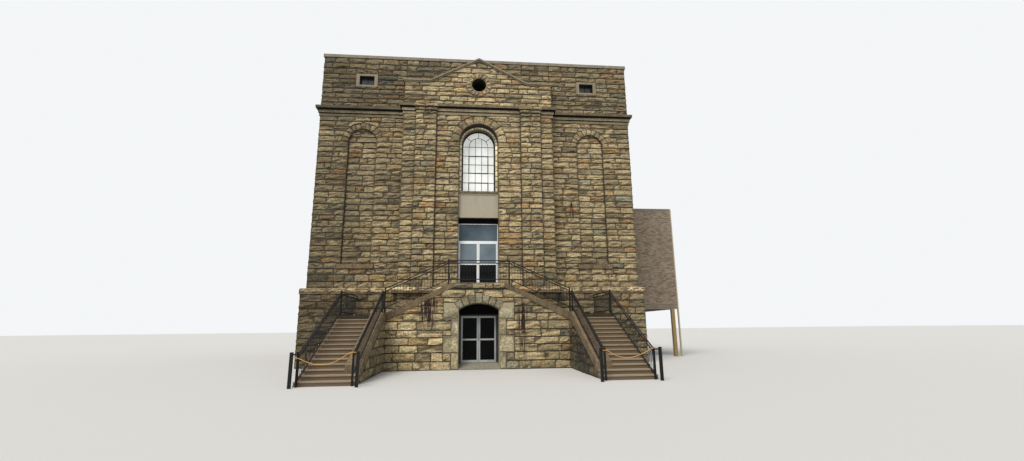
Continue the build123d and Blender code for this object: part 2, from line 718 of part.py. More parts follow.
def upper_flight():
    """Side view of the right-hand flight, from the middle landing in to the top landing."""
    points = [(PODIUM_HALF, upper_waist(PODIUM_HALF))]
    for i in range(UPPER_RISERS - 1):
        x = PODIUM_HALF - i * UPPER_GOING
        points.append((x, MID_TOP + UPPER_RISE * (i + 1)))
        points.append((x - UPPER_GOING, MID_TOP + UPPER_RISE * (i + 1)))
    points.append((LANDING_HALF, upper_waist(LANDING_HALF)))
    return polygon(*points)


def upper_steps():
    """Both upper flights, between the front cheeks and the pavilion."""
    return both(upright(upper_flight(), PODIUM_FRONT + FRONT_CHEEK_W, PODIUM_BACK))


def upper_stair_space():
    """What the upper flights fill, with the air over them up to the landing's level."""
    outline = polygon((PODIUM_HALF, upper_waist(PODIUM_HALF)), (PODIUM_HALF, FIRST_TOP), (LANDING_HALF, FIRST_TOP),
                      (LANDING_HALF, upper_waist(LANDING_HALF)))
    return both(upright(outline, PODIUM_FRONT + FRONT_CHEEK_W, PODIUM_BACK))


def upper_waist(x):
    """Height of the flight's sloping underside at a distance from the middle."""
    return MID_TOP - LOWER_RISE + (PODIUM_HALF - x) * UPPER_SLOPE


def podium():
    """Podium masonry each side of the entrance, with the flights, cheeks and landing on it."""
    side_y = PODIUM_FRONT + FRONT_CHEEK_W
    write("upper_flights", *upper_steps())
    body_line = polygon((PASSAGE_HALF, 0), (PODIUM_HALF, 0), (PODIUM_HALF, upper_waist(PODIUM_HALF)),
                        (LANDING_HALF, upper_waist(LANDING_HALF)), (LANDING_HALF, LANDING_FOOT),
                        (PASSAGE_HALF, LANDING_FOOT))
    body = upright(body_line, side_y, PODIUM_BACK)
    cheek = polygon((PASSAGE_HALF, 0), (PODIUM_HALF, 0), *cheek_foot_line(), (PASSAGE_HALF, LANDING_FOOT))
    body += upright(cheek, PODIUM_FRONT, side_y)
    body -= block(0, QUOIN_WIDE, PODIUM_FRONT, FRAME_BACK, 0, LANDING_FOOT)
    body -= lower_band()
    write("podium", *both(body))
    slab = block(-LANDING_HALF, LANDING_HALF, side_y, PODIUM_BACK, LANDING_FOOT, FIRST_TOP)
    slab += block(-CHEEK_END, CHEEK_END, PODIUM_FRONT - LANDING_LIP, side_y, LANDING_FOOT, FIRST_TOP)
    write("landing_slab", slab)
    write("cheek_copings", *both(upper_band()), *both(lower_band()))


def upper_band():
    """Sloping coping of the right-hand cheek beside the upper flight."""
    outline = polygon(*cheek_foot_line(), (CHEEK_END, FIRST_TOP), (cheek_break(), FIRST_TOP),
                      (PODIUM_HALF, MID_TOP + CHEEK_RISE))
    band = upright(outline, CHEEK_FACE, PODIUM_FRONT + FRONT_CHEEK_W)
    return band - block(PODIUM_HALF - CHEEK_OUT, PODIUM_HALF + 1, CHEEK_FACE - 1, 0, 0, FIRST_TOP)


def lower_band():
    """Coping of the right-hand cheek beside the lower flight, level beside the middle landing."""
    side_y = PODIUM_FRONT + FRONT_CHEEK_W
    tops = [(CHEEK_FOOT_Y, pitch(CHEEK_FOOT_Y) + CHEEK_RISE), (MID_FRONT, MID_TOP + CHEEK_RISE),
            (side_y, MID_TOP + CHEEK_RISE)]
    feet = [(y, z - CHEEK_BAND) for y, z in reversed(tops)]
    return sideways(polygon(*tops, *feet), PODIUM_HALF - CHEEK_OUT, CHEEK_IN)


def pitch(y):
    """Height of the line through the lower flight's nosings."""
    return LOWER_RISE + (y - LOWER_FOOT) * LOWER_SLOPE


def cheek_break():
    """Where the front cheek's top reaches the landing's level."""
    return PODIUM_HALF - (FIRST_TOP - MID_TOP - CHEEK_RISE) / UPPER_SLOPE


def cheek_foot_line():
    """The front cheek band's lower edge, from its outer end to the landing."""
    return [(PODIUM_HALF, MID_TOP + CHEEK_RISE - CHEEK_BAND), (CHEEK_END, LANDING_FOOT)]


def lower_stair():
    """The lower flights with their inner cheek walls, and the middle landings."""
    teeth = []
    for i in range(LOWER_RISERS - 1):
        y = LOWER_FOOT + i * LOWER_GOING
        top = LOWER_RISE * (i + 1)
        under = top - NOSING_T
        teeth.append([(y, LOWER_RISE * i), (y, under), (y - NOSING_OUT, under), (y - NOSING_OUT, top)])
    full = polygon(*chain(*teeth), (MID_FRONT, LOWER_RISE * (LOWER_RISERS - 1)), (MID_FRONT, 0))
    flight = sideways(full, CHEEK_IN, STAIR_OUTER)
    shown = CHEEK_STOP_RISERS
    low = polygon(*chain(*teeth[:shown]), (CHEEK_FOOT_Y, LOWER_RISE * shown), (CHEEK_FOOT_Y, 0))
    flight += sideways(low, PODIUM_HALF, CHEEK_IN)
    write("lower_flights", *both(flight))
    landing = block(PODIUM_HALF, STAIR_OUTER, MID_FRONT, PLINTH_FACE, 0, MID_TOP)
    landing += block(PAVILION_HALF, PODIUM_HALF, PODIUM_BACK, PLINTH_FACE, 0, MID_TOP)
    landing += block(CHEEK_IN, STAIR_OUTER, MID_FRONT - NOSING_OUT, MID_FRONT, MID_TOP - NOSING_T, MID_TOP)
    write("middle_landings", *both(landing - lower_band()))
    under = CHEEK_RISE - CHEEK_BAND
    wall_line = polygon((CHEEK_FOOT_Y, 0), (CHEEK_FOOT_Y, pitch(CHEEK_FOOT_Y) + under),
                        (MID_FRONT, MID_TOP + under), (MID_FRONT, 0))
    write("cheek_walls", *both(sideways(wall_line, PODIUM_HALF, CHEEK_IN)))


def railing(start, end, foot=RAIL_FOOT, bases=(0, 0), posts=(True, True)):
    """An iron railing between two points: doubled top rail, bottom rail and square balusters, with end posts.

    The posts reach down to their bases, given from the line between the two points.
    """
    x0, y0, z0 = start
    x1, y1, z1 = end
    run = sqrt((x1 - x0)**2 + (y1 - y0)**2)
    rise = z1 - z0
    face = None
    for height in (foot, RAIL_H - BAR - RAIL_GAP, RAIL_H - BAR):
        bar = polygon((0, height), (run, height + rise), (run, height + rise + BAR), (0, height + BAR))
        face = bar if face is None else face + bar
    rails = upright(face, -BAR / 2, BAR / 2)
    count = ceil(run / BALUSTER_GAP)
    for i in range(1, count):
        x = run * i / count
        z = rise * i / count
        rails += block(x - BALUSTER / 2, x + BALUSTER / 2, -BALUSTER / 2, BALUSTER / 2,
                       z + foot + BAR / 2, z + RAIL_H - BAR / 2 - RAIL_GAP)
    for x, z, base, wanted in ((0, 0, bases[0], posts[0]), (run, rise, bases[1], posts[1])):
        if wanted:
            rails += block(x - POST / 2, x + POST / 2, -POST / 2, POST / 2, z + base, z + RAIL_H + BAR)
    return Pos(x0, y0, z0) * Rot(0, 0, degrees(atan2(y1 - y0, x1 - x0))) * rails


def railings():
    """The landing's guard with the upper railings, and each lower stair's railings."""
    y = PODIUM_FRONT + RAIL_INSET
    top_z = FIRST_TOP
    inner_x = LANDING_POST_X
    outer_x = INNER_RAIL_X
    foot_z = top_z - (outer_x - inner_x) * UPPER_SLOPE
    guard = railing((-inner_x, y, top_z), (inner_x, y, top_z), bases=(-2 * POST, -2 * POST))
    run = railing((inner_x, y, top_z), (outer_x, y, foot_z), bases=(0, MID_TOP - foot_z), posts=(False, True))
    for side in both(run):
        guard += side
    for band in both(upper_band()) + both(lower_band()):
        guard -= band
    write("landing_railing", guard)
    corner_y = MID_FRONT + POST / 2
    inside = railing((outer_x, RAIL_END_Y, 0), (outer_x, corner_y, MID_TOP), foot=CHEEK_RAIL_FOOT)
    inside += railing((outer_x, corner_y, MID_TOP), (outer_x, y - POST / 2, MID_TOP), foot=CHEEK_RAIL_FOOT,
                      posts=(False, False))
    inside -= lower_band()
    inside += newel(outer_x, INNER_NEWEL_X)
    rail_x = OUTER_RAIL_X
    outside = railing((rail_x, RAIL_END_Y, 0), (rail_x, corner_y, MID_TOP))
    outside += railing((rail_x, corner_y, MID_TOP), (rail_x, PLINTH_FACE, MID_TOP), posts=(False, False))
    outside += newel(rail_x, OUTER_NEWEL_X)
    write("stair_railings", *both(inside), *both(outside))


def newel(rail_x, x):
    """A thick post ahead of a rail's foot and to its side, with the level bar that joins the two."""
    half = NEWEL / 2
    post = block(x - half, x + half, NEWEL_Y - half, NEWEL_Y + half, 0, NEWEL_H)
    aside, ahead = x - rail_x, NEWEL_Y - RAIL_END_Y
    run = sqrt(aside**2 + ahead**2)
    bar = block(0, run, -BAR / 2, BAR / 2, RAIL_H - BAR, RAIL_H)
    return post + Pos(rail_x, RAIL_END_Y, 0) * Rot(0, 0, degrees(atan2(ahead, aside))) * bar


def rope(points, side):
    """A rope between two newels: straight runs joined by arcs as large as the runs allow."""
    y = NEWEL_Y
    route = [Vector(side * x, y, z) for x, z in points]
    radii = []
    for before, here, after in zip(route, route[1:], route[2:]):
        run = min((here - before).length, (after - here).length)
        turn = (here - before).get_angle(after - here)
        radii.append(0.45 * run / tan(radians(turn / 2)))
    print("rope radii", [round(r) for r in radii])
    path = FilletPolyline(*route, radius=radii)
    line = sweep(Plane(origin=route[0], z_dir=path % 0) * Circle(ROPE_R), path=path)
    inner = INNER_NEWEL_X + NEWEL / 2
    outer = OUTER_NEWEL_X - NEWEL / 2
    return line & block(side * inner, side * outer, y - POST, y + POST, 0, 2 * RAIL_H)


def ropes():
    """One rope across the foot of each stair."""
    write("rope_right", rope(ROPE_RIGHT, 1))
    write("rope_left", rope(ROPE_LEFT, -1))


def floors():
    """Ground floor with its tongue and ramp in the entrance, the floors above, and the roof deck."""
    inner = HALF_WIDTH - WALL
    y0, y1 = WALL, DEPTH - WALL
    ground = block(-inner, inner, y0, y1, 0, GROUND_TOP)
    ground += block(-PASSAGE_HALF, PASSAGE_HALF, FRAME_BACK, y0, 0, GROUND_TOP)
    sill_y = FRAME_FACE - THRESHOLD
    ground += block(-ENTRY_HALF, ENTRY_HALF, sill_y, FRAME_BACK, 0, GROUND_TOP)
    ramp = polygon((PODIUM_FRONT, 0), (sill_y, 0), (sill_y, GROUND_TOP - RAMP_DROP), (PODIUM_FRONT, RAMP_LIP))
    write("ground_floor", ground + sideways(ramp, -ENTRY_HALF, ENTRY_HALF))
    first = block(-inner, inner, y0, y1, LANDING_FOOT, FIRST_TOP)
    first += block(-BAY_HALF, BAY_HALF, PAVILION_FACE, y0, LANDING_FOOT, FIRST_TOP)
    upper = [block(-inner, inner, y0, y1, top - FLOOR_T, top) for top in (SECOND_TOP, ATTIC_TOP)]
    write("upper_floors", first, *upper)
    write("roof_deck", block(-inner, inner, y0, y1, ROOF_TOP - FLOOR_T, ROOF_TOP))


def annex():
    """The brick box on posts beside the main block, with its edge beam, roof and downpipe."""
    x0, x1 = HALF_WIDTH, ANNEX_SIDE
    y0, y1 = ANNEX_FRONT, ANNEX_FRONT + ANNEX_LENGTH
    beam_foot = ANNEX_FOOT - ANNEX_BEAM
    ring = level(plan(STRING_OUT), PLINTH_TOP, STRING_TOP)
    plinth = level(plan(PLINTH_OUT), 0, PLINTH_TOP)
    shell = block(x0, x1, y0, y1, ANNEX_FOOT, ANNEX_TOP - ANNEX_ROOF_T)
    shell -= block(x0 - 1, x1 - ANNEX_WALL, y0 + ANNEX_WALL, y1 - ANNEX_WALL, ANNEX_FOOT, ANNEX_TOP)
    write("annex_walls", shell - ring - plinth)
    floor = block(x0, x1, y0, y1, beam_foot, ANNEX_FOOT) - plinth
    write("annex_slabs", floor, block(x0, x1, y0, y1, ANNEX_TOP - ANNEX_ROOF_T, ANNEX_TOP))
    post_x = x1 - ANNEX_POST_INSET - ANNEX_POST
    post_outer = post_x + ANNEX_POST
    posts = [block(post_x, post_outer, y, y + ANNEX_POST, 0, beam_foot) for y in (y0, y1 - ANNEX_POST)]
    write("annex_posts", *posts)
    pipe_y = y0 + PIPE_W / 2
    pipe = block(x1 + PIPE_GAP, x1 + PIPE_GAP + PIPE_D, pipe_y, pipe_y + PIPE_W, 0, ANNEX_TOP)
    for z in bay_centres(ANNEX_FOOT, ANNEX_TOP, BRACKETS):
        pipe += block(x1, x1 + PIPE_GAP, pipe_y, pipe_y + PIPE_W, z, z + BAR)
    write("annex_downpipe", pipe)


os.makedirs("parts", exist_ok=True)
front_wall()
side_wall("right_wall", 1, True)
side_wall("left_wall", -1, False)
rear_wall()
pavilion()
cornice()
string_course()
coping()
sills()
windows()
oculus()
central_bay()
upper_door()
ground_door()
entrance()
podium()
lower_stair()
railings()
ropes()
floors()
annex()
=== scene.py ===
# %% [markdown]
# # A stone courthouse, dressed stone by stone
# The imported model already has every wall, stair and door at its real size. This lesson adds what makes
# masonry look like masonry: rock-faced blocks laid in courses, wedge stones round the arches, window bars,
# bricks, laid rope, and a finish for each surface. Every shape here is an array worked out with numpy,
# because a wall of thousands of stones is one formula with different numbers, and arrays make all of them
# in one go.

# %% Load the frame
from functools import partial
from math import cos, pi, radians, sin

import bpy
import numpy as np
from mathutils import Matrix, Vector


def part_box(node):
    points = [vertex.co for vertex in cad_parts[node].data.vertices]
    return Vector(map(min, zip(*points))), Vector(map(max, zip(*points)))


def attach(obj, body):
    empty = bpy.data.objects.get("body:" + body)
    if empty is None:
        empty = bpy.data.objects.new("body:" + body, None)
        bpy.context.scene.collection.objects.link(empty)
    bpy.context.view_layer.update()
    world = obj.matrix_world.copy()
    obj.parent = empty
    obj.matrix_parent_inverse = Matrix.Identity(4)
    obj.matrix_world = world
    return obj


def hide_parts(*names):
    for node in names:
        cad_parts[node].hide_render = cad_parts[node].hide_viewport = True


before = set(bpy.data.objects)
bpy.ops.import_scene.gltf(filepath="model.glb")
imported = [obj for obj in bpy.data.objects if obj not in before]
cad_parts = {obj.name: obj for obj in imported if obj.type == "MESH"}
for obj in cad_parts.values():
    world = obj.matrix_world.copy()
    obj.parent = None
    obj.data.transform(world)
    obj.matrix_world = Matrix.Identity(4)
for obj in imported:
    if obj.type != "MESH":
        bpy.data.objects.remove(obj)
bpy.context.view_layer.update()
rng = np.random.default_rng(1883)
print("CAD nodes:", len(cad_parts))

# %% [markdown]
# ## Sizes that the looks need
# A dressing has to sit on the body under it. So the main faces are read from the frame, and only what the
# frame can't tell, such as how far the plinth stands out, is written down. All sizes are in metres.

# %% Read the faces of the building from the frame
PLINTH_OUT = 0.2
plinth_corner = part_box("rear_wall")[1]
HALF, BACK = plinth_corner.x - PLINTH_OUT, plinth_corner.y - PLINTH_OUT
FRONT = -BACK
PAVILION, PAVILION_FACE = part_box("pavilion_piers")[1].x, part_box("pavilion_piers")[0].y
STRING_FOOT, STRING_TOP = (corner.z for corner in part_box("string_course"))
CORNICE_FOOT, CORNICE_TOP = (corner.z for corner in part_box("cornice"))
WALL_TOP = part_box("coping")[0].z
print("main block", round(2 * HALF, 2), "wide,", round(2 * BACK, 2), "deep,", round(WALL_TOP, 2), "high")

# %% [markdown]
# ## The camera
# The picture was taken in front of the steps, at eye height, with the camera tilted up. Its place and its
# three angles were worked out from the straight edges of the front. A camera's axes are its right, its up
# and the direction it looks away from, so the three angles become three unit vectors, which are the
# matrix's columns.

# %% Place the camera
EYE = Vector((-0.476, FRONT - 23.764, 1.774))
YAW, PITCH, ROLL = 0.095, 0.209, -0.011
FOCAL_PX, WIDTH_PX, SENSOR = 460.4, 1024, 36.0
level_right = Vector((cos(YAW), -sin(YAW), 0))
level_ahead = Vector((sin(YAW), cos(YAW), 0))
ahead = level_ahead * cos(PITCH) + Vector((0, 0, sin(PITCH)))
level_up = Vector((0, 0, cos(PITCH))) - level_ahead * sin(PITCH)
right = level_right * cos(ROLL) + level_up * sin(ROLL)
up = level_up * cos(ROLL) - level_right * sin(ROLL)
camera = bpy.data.objects.new("camera", bpy.data.cameras.new("camera"))
camera.data.sensor_width = SENSOR
camera.data.lens = FOCAL_PX * SENSOR / WIDTH_PX
camera.matrix_world = Matrix.Translation(EYE) @ Matrix((right, up, -ahead)).transposed().to_4x4()
bpy.context.collection.objects.link(camera)
bpy.context.scene.camera = camera
print("lens", round(camera.data.lens, 2), "mm")

# %% [markdown]
# ## From arrays to a mesh
# Blender keeps a mesh as flat lists: places, corners and where each face starts. Filling these lists
# straight from arrays takes a moment even for a hundred thousand faces, where a loop would take minutes.
# Each piece also rides on the building's body, and it can carry values for its material, one for each
# point.

# %% A helper that makes a piece
def add_piece(name, points, faces, values, smooth=False):
    """A mesh piece. faces is a list of arrays, each holding faces with the same number of corners."""
    corners = np.concatenate([f.ravel() for f in faces]).astype(np.int32)
    counts = np.concatenate([np.full(len(f), f.shape[1]) for f in faces])
    mesh = bpy.data.meshes.new(name)
    mesh.vertices.add(len(points))
    mesh.vertices.foreach_set("co", np.asarray(points, np.float32).ravel())
    mesh.loops.add(len(corners))
    mesh.loops.foreach_set("vertex_index", corners)
    mesh.polygons.add(len(counts))
    mesh.polygons.foreach_set("loop_start", (np.cumsum(counts) - counts).astype(np.int32))
    mesh.polygons.foreach_set("use_smooth", np.full(len(counts), smooth))
    mesh.update(calc_edges=True)
    for key, numbers in values.items():
        mesh.attributes.new(key, "FLOAT", "POINT").data.foreach_set("value", np.asarray(numbers, np.float32))
    made = bpy.data.objects.new(name, mesh)
    bpy.context.collection.objects.link(made)
    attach(made, "building")
    print(name, len(points), "points", int((counts - 2).sum()), "triangles")
    return made


# %% [markdown]
# ## What a rock-faced stone is
# A mason squares the block, draws a line round its face and pitches the edges off with a wide chisel. The
# face is left as it broke, so it is straight at the joints and swells between them. As a formula it is a
# grid of two parameters, s along and t up. The depth is nil on the rim, jumps to the pitched edge just
# inside it, and then swells and wanders. The grit is too fine for the mesh, so the material adds it.

# %% The broken face of many stones at once
ACROSS, RISING = 9, 6
RIM_DEPTH = -0.004


def grid_places(gap, count):
    """Places from 0 to 1 along a stone, of which the second and the last but one lie a gap from its ends."""
    return np.concatenate([0 * gap, gap + (1 - 2 * gap) * np.linspace(0, 1, count - 2), 0 * gap + 1], 1)


def rock_faces(wide, high, swell=0.032, rough=0.014, edge=0.013, margin=0.024, ragged=0.4):
    """Grids s and t from 0 to 1 for each stone, and the depth of its face.

    depth = edge + swell * size * dome + tilt * (t - 1/2) + rough * wander, inside the rim. The dome is
    (1 - (2s - 1)^4)(1 - (2t - 1)^4), and wander is a random height, evened out along the bed. Inside the
    rim the grid's places wander too, by a part of its spacing, so that no pitched edge is straight.
    """
    shape, one_each = (len(wide), RISING, ACROSS), (len(wide), 1, 1)
    gap_s = np.minimum(0.7 * margin / wide, 0.2)[:, None]
    gap_t = np.minimum(1.3 * margin / high, 0.2)[:, None]
    inner = np.zeros((RISING, ACROSS))
    inner[1:-1, 1:-1] = 1
    wave_s = rng.uniform(-ragged, ragged, shape) * inner * gap_s[:, :, None]
    wave_t = rng.uniform(-ragged, ragged, shape) * inner * gap_t[:, :, None]
    s = grid_places(gap_s, ACROSS)[:, None, :] + wave_s
    t = grid_places(gap_t, RISING)[:, :, None] + wave_t
    dome = (1 - (2 * s - 1) ** 4) * (1 - (2 * t - 1) ** 4)
    wander = rng.normal(0, 1, shape)
    wander = 0.6 * wander + 0.3 * (np.roll(wander, 1, 2) + np.roll(wander, -1, 2))
    size = rng.uniform(0.2, 1.3, one_each)
    tilt = rng.normal(0, 0.45, one_each) * swell
    depth = edge + swell * size * dome + tilt * (t - 0.5) + rough * wander
    return s, t, np.where(inner > 0, np.maximum(depth, 0.35 * edge), RIM_DEPTH)


# %% [markdown]
# Each stone is closed behind by one flat face on its rim, so the mesh has no holes. All stones share the
# same small list of faces, moved along by the number of points in a stone.

# %% The faces of one stone, and of all of them
def stone_faces(count):
    """Quads over each grid and one many-sided back on each rim, for count stones."""
    grid = np.arange(RISING * ACROSS).reshape(RISING, ACROSS)
    quads = np.stack([grid[:-1, :-1], grid[:-1, 1:], grid[1:, 1:], grid[1:, :-1]], -1).reshape(-1, 4)
    rim = np.concatenate([grid[0, :-1], grid[:-1, -1], grid[-1, :0:-1], grid[:0:-1, 0]])[::-1]
    shift = (np.arange(count) * RISING * ACROSS)[:, None, None]
    return [(quads[None] + shift).reshape(-1, 4), rim[None] + shift[:, 0]]


# %% [markdown]
# A stone's colour isn't only its own. Soot gathers where rain doesn't reach, other places are lighter, and
# iron leaves rust under it. Some dark marks are painted shade too: a tree's shadow with dirt on the left of
# the front, shade with soot behind the left stair, and shade on the right cheek wall. Each such mark is a
# middle, a reach each way and a strength, and where they overlap their factors are multiplied. A strength
# below nil makes the stones lighter.

# %% Soot, painted shade and rust, and a piece made of stones
SOOT_AND_SHADE = [((6.2, -10.2, 2.9), (0.7, 0.6, 0.7), 0.5), ((-6.3, -10.2, 2.9), (0.7, 0.6, 0.7), 0.6),
        ((-8.3, -10.1, 9.0), (1.8, 0.6, 6.0), 0.4), ((-6.5, -10, 15.3), (3.4, 1.0, 1.5), 0.3),
        ((-7.7, -10.2, 1.7), (1.3, 0.6, 2.2), 0.5), ((1.7, -10.6, 9.5), (1.5, 0.9, 4.2), -0.42),
        ((5.7, -10, 9.2), (2.9, 0.8, 4.8), -0.24), ((-2.6, -10.6, 9.5), (1.8, 0.9, 5.0), -0.12),
        ((0, -10.6, 14.9), (2.8, 0.5, 1.2), -0.3), ((-2.5, -12.62, 1.7), (1.3, 0.3, 1.7), -0.26),
        ((-6.2, -10, 8.4), (1.0, 0.5, 3.8), 0.12), ((-7.6, -10.2, 4.3), (1.7, 0.6, 0.4), 0.34),
        ((4.13, -14.9, 0.8), (0.4, 3.0, 2.0), 0.78)]
RUST = [((1.97, -12.65, 2.2), (0.2, 0.3, 0.8), 1.0), ((1.97, -12.65, 0.9), (0.14, 0.3, 0.6), 0.7),
        ((-2.28, -12.65, 2.9), (0.4, 0.3, 0.3), 1.0), ((-2.32, -12.65, 2.4), (0.28, 0.3, 0.5), 1.0),
        ((5.03, -10, 7.8), (0.12, 0.2, 0.5), 0.6)]
FULL_RELIEF, TONE_SPREAD = 0.04, 0.11


def weather(points, marks):
    """A factor for each point: the product of 1 - strength * exp(-(distance / reach)^2) over the marks."""
    factor = np.ones(len(points))
    for middle, reach, strength in marks:
        away = ((points - np.array(middle)) / np.array(reach)) ** 2
        factor *= 1 - strength * np.exp(-away.sum(1))
    return factor


def stone_piece(name, placed):
    """Joins placed stones, a list of (points, depth, shade), into one piece with values for its material."""
    points, depth, shade = zip(*placed)
    shade = np.repeat(shade, [len(p) for p in points])
    points = np.concatenate(points)
    count, each = len(points), RISING * ACROSS
    shade = shade * weather(points.mean((1, 2)), SOOT_AND_SHADE)
    values = {
        "pick": np.repeat(rng.uniform(0, 1, count), each),
        "tone": np.repeat(rng.normal(1, TONE_SPREAD, count) * shade, each),
        "rust": 1 - weather(points.reshape(-1, 3), RUST),
        "relief": np.clip(np.concatenate(depth) / FULL_RELIEF, 0, 1).ravel(),
    }
    add_piece(name, points.reshape(-1, 3), stone_faces(count), values)


# %% [markdown]
# ## Laying courses
# A wall is laid in level courses, each filled with stones of different lengths between the corners, windows
# and doors. First come the heights of the beds and the rectangles between them that no opening takes.

# %% Courses, and the room that openings leave in them
THIN = 0.035
LEAST_COURSE = 0.1


def uneven(low, high, count, least, most):
    """Cuts from low to high in uneven steps: low + (high - low) * running sum of the steps / their sum."""
    steps = rng.uniform(least, most, count)
    return low + (high - low) * np.concatenate([[0], np.cumsum(steps)]) / steps.sum()


def beds(*levels, course=0.31):
    """Bed heights between fixed levels, with courses a little uneven."""
    lines = [levels[0]]
    for low, high in zip(levels[:-1], levels[1:]):
        count = max(1, round((high - low) / course))
        lines += list(uneven(low, high, count, least=0.86, most=1.14)[1:])
    return lines


def cut_beds(lines, foot, head):
    """The beds between two heights, without thin courses at either end."""
    return [foot] + [b for b in lines if foot + LEAST_COURSE < b < head - LEAST_COURSE] + [head]


def opening(middle, half, foot, head):
    """A rectangle (u0, u1, v0, v1) about a middle."""
    return middle - half, middle + half, foot, head


def arch_hole(low, high, middle, centre, radius, spring):
    """What an arch takes from a course: its shorter chord, above the height where it springs."""
    chords = [max(radius ** 2 - (z - centre) ** 2, 0) ** 0.5 for z in (max(low, spring), high)]
    return opening(middle, min(chords) if high > spring else 0, max(low, spring), high)


def free_cells(low, high, span, holes):
    """Rectangles of a course that no hole takes. Neighbours with the same heights are joined."""
    ends = [u for hole in holes if hole[2] < high and hole[3] > low for u in hole[:2]]
    edges = sorted({span[0], span[1], *[u for u in ends if span[0] < u < span[1]]})
    cells = []
    for a, b in zip(edges[:-1], edges[1:]):
        parts = [(low, high)]
        for u0, u1, v0, v1 in holes:
            if u0 < (a + b) / 2 < u1:
                cut = [piece for p, q in parts for piece in ((p, min(q, v0)), (max(p, v1), q))]
                parts = [(p, q) for p, q in cut if q - p > THIN]
        for p, q in parts:
            before = [c for c in cells if c[1] == a and c[2:] == [p, q]]
            if before:
                before[0][1] = b
            else:
                cells.append([a, b, p, q])
    return [c for c in cells if c[1] - c[0] > THIN]


def lay(lines, span, holes=(), arches=(), length=0.72):
    """Rectangles (u0, u1, v0, v1) of stones that fill a face, course by course."""
    stones = []
    for low, high in zip(lines[:-1], lines[1:]):
        taken = list(holes) + [arch_hole(low, high, *arch) for arch in arches]
        for u0, u1, v0, v1 in free_cells(low, high, span, taken):
            count = max(1, round((u1 - u0) / (length * rng.uniform(0.8, 1.2))))
            cuts = uneven(u0, u1, count, least=0.5, most=1.5)
            stones += [(a, b, v0, v1) for a, b in zip(cuts[:-1], cuts[1:])]
    return np.array(stones)


# %% [markdown]
# Then the rectangles become stones. A face of the building is a start point and the direction along it, and
# a point of a stone is start + u along + v up + depth outwards. Where a course meets an arch, given as its
# middle, its centre's height, its radius and the height where it springs, the stones are cut to the curve:
# points on the wrong side of the circle slide to it along the radius.

# %% Stones on a face
JOINT = 0.014
LEAST_SHARE, LEAST_HIGH = 0.12, 0.05
UP, X, Y = np.array([0.0, 0.0, 1.0]), np.array([1.0, 0, 0]), np.array([0, 1.0, 0])


def place(start, along, u, v, depth):
    """Points in the frame for places u, v and depth on a face."""
    out = np.cross(along, UP)
    return np.asarray(start, float) + u[..., None] * along + v[..., None] * UP + depth[..., None] * out


def cut_to_arch(u, v, arch, keep_inside):
    """Slides points above the spring out of an arch's circle, or into it, by radius / distance."""
    middle, centre, radius, spring = arch
    away = np.hypot(u - middle, v - centre) + 1e-9
    wrong = away > radius if keep_inside else away < radius
    slide = np.where(wrong & (v > spring), radius / away, 1)
    return middle + (u - middle) * slide, centre + (v - centre) * slide


def wall_stones(start, along, stones, arches=(), inside=None, trim=None, shade=1.0, **relief):
    """Rock-faced stones on a face, cut to arches beside them, to one arch round them, or by a trim."""
    u0, u1, v0, v1 = (stones[:, i, None, None] for i in range(4))
    s, t, depth = rock_faces((u1 - u0).ravel(), (v1 - v0).ravel(), **relief)
    u = u0 + JOINT / 2 + s * (u1 - u0 - JOINT)
    v = v0 + JOINT / 2 + t * (v1 - v0 - JOINT)
    for arch in arches:
        u, v = cut_to_arch(u, v, arch, False)
    if inside:
        u, v = cut_to_arch(u, v, inside, True)
    if trim:
        v = np.minimum(v, trim(u))
    whole = ((u1 - u0 - JOINT) * (v1 - v0 - JOINT)).ravel()
    wide, high = np.ptp(u, (1, 2)), np.ptp(v, (1, 2))
    kept = (wide * high > LEAST_SHARE * whole) & (high > LEAST_HIGH)
    return place(start, along, u, v, depth)[kept], depth[kept], shade


# %% [markdown]
# Round an arch the stones are wedges. The same grid is bent: s becomes an angle and t a radius. The wedge's
# joints then point at the centre, as a mason cuts them.

# %% Wedge stones round an arch
def ring_stones(start, along, middle, spring, inner, outer, count, first=-90.0, last=90.0, shade=1.0,
                **relief):
    """Rock-faced wedges. The angle from straight up is first + s (last - first), in degrees, and the radius
    is inner + t (outer - inner).
    """
    cuts = np.linspace(radians(first), radians(last), count + 1)
    a0, a1 = cuts[:-1, None, None], cuts[1:, None, None]
    wide = (a1 - a0).ravel() * (inner + outer) / 2
    s, t, depth = rock_faces(wide, np.full(count, outer - inner), **relief)
    radius = inner + JOINT / 2 + t * (outer - inner - JOINT)
    angle = a0 + s * (a1 - a0) + (0.5 - s) * JOINT / radius
    u, v = middle + radius * np.sin(angle), spring + radius * np.cos(angle)
    return place(start, along, u, v, depth), depth, shade


def keyed_ring(start, spring, inner, outer, end, key, each, key_rise=0.0, **relief):
    """Wedges each side of a key stone, out to an end angle. The key stone may stand higher than they do."""
    parts = ((-end, -key, each, 0), (-key, key, 1, key_rise), (key, end, each, 0))
    return [ring_stones(start, X, 0, spring, inner, outer + rise, count, first, last, **relief)
            for first, last, count, rise in parts]


# %% [markdown]
# ## The front
# The front has blind arches in the side bays and a pavilion with the great window. Courses run through at
# one height right round the building, so the list of beds is made once and used for every wall.

# %% Beds and openings shared by the walls
NICHE_X, NICHE_HALF, NICHE_SPRING, NICHE_DEPTH, NICHE_RING, NICHE_WEDGES = 6.2, 0.73, 11.61, 0.11, 0.36, 11
NICHE_FOOT, NICHE_SILL, NICHE_SILL_HALF = 4.8, 5.03, 0.91
BAY, BAY_SPRING, BAY_RING, BAY_KEY, BAY_WEDGES = 1.03, 11.53, 0.47, 14, 4
ATTIC_X, ATTIC_HALF, ATTIC_FOOT, ATTIC_HEAD = 6.15, 0.58, 14.84, 15.61
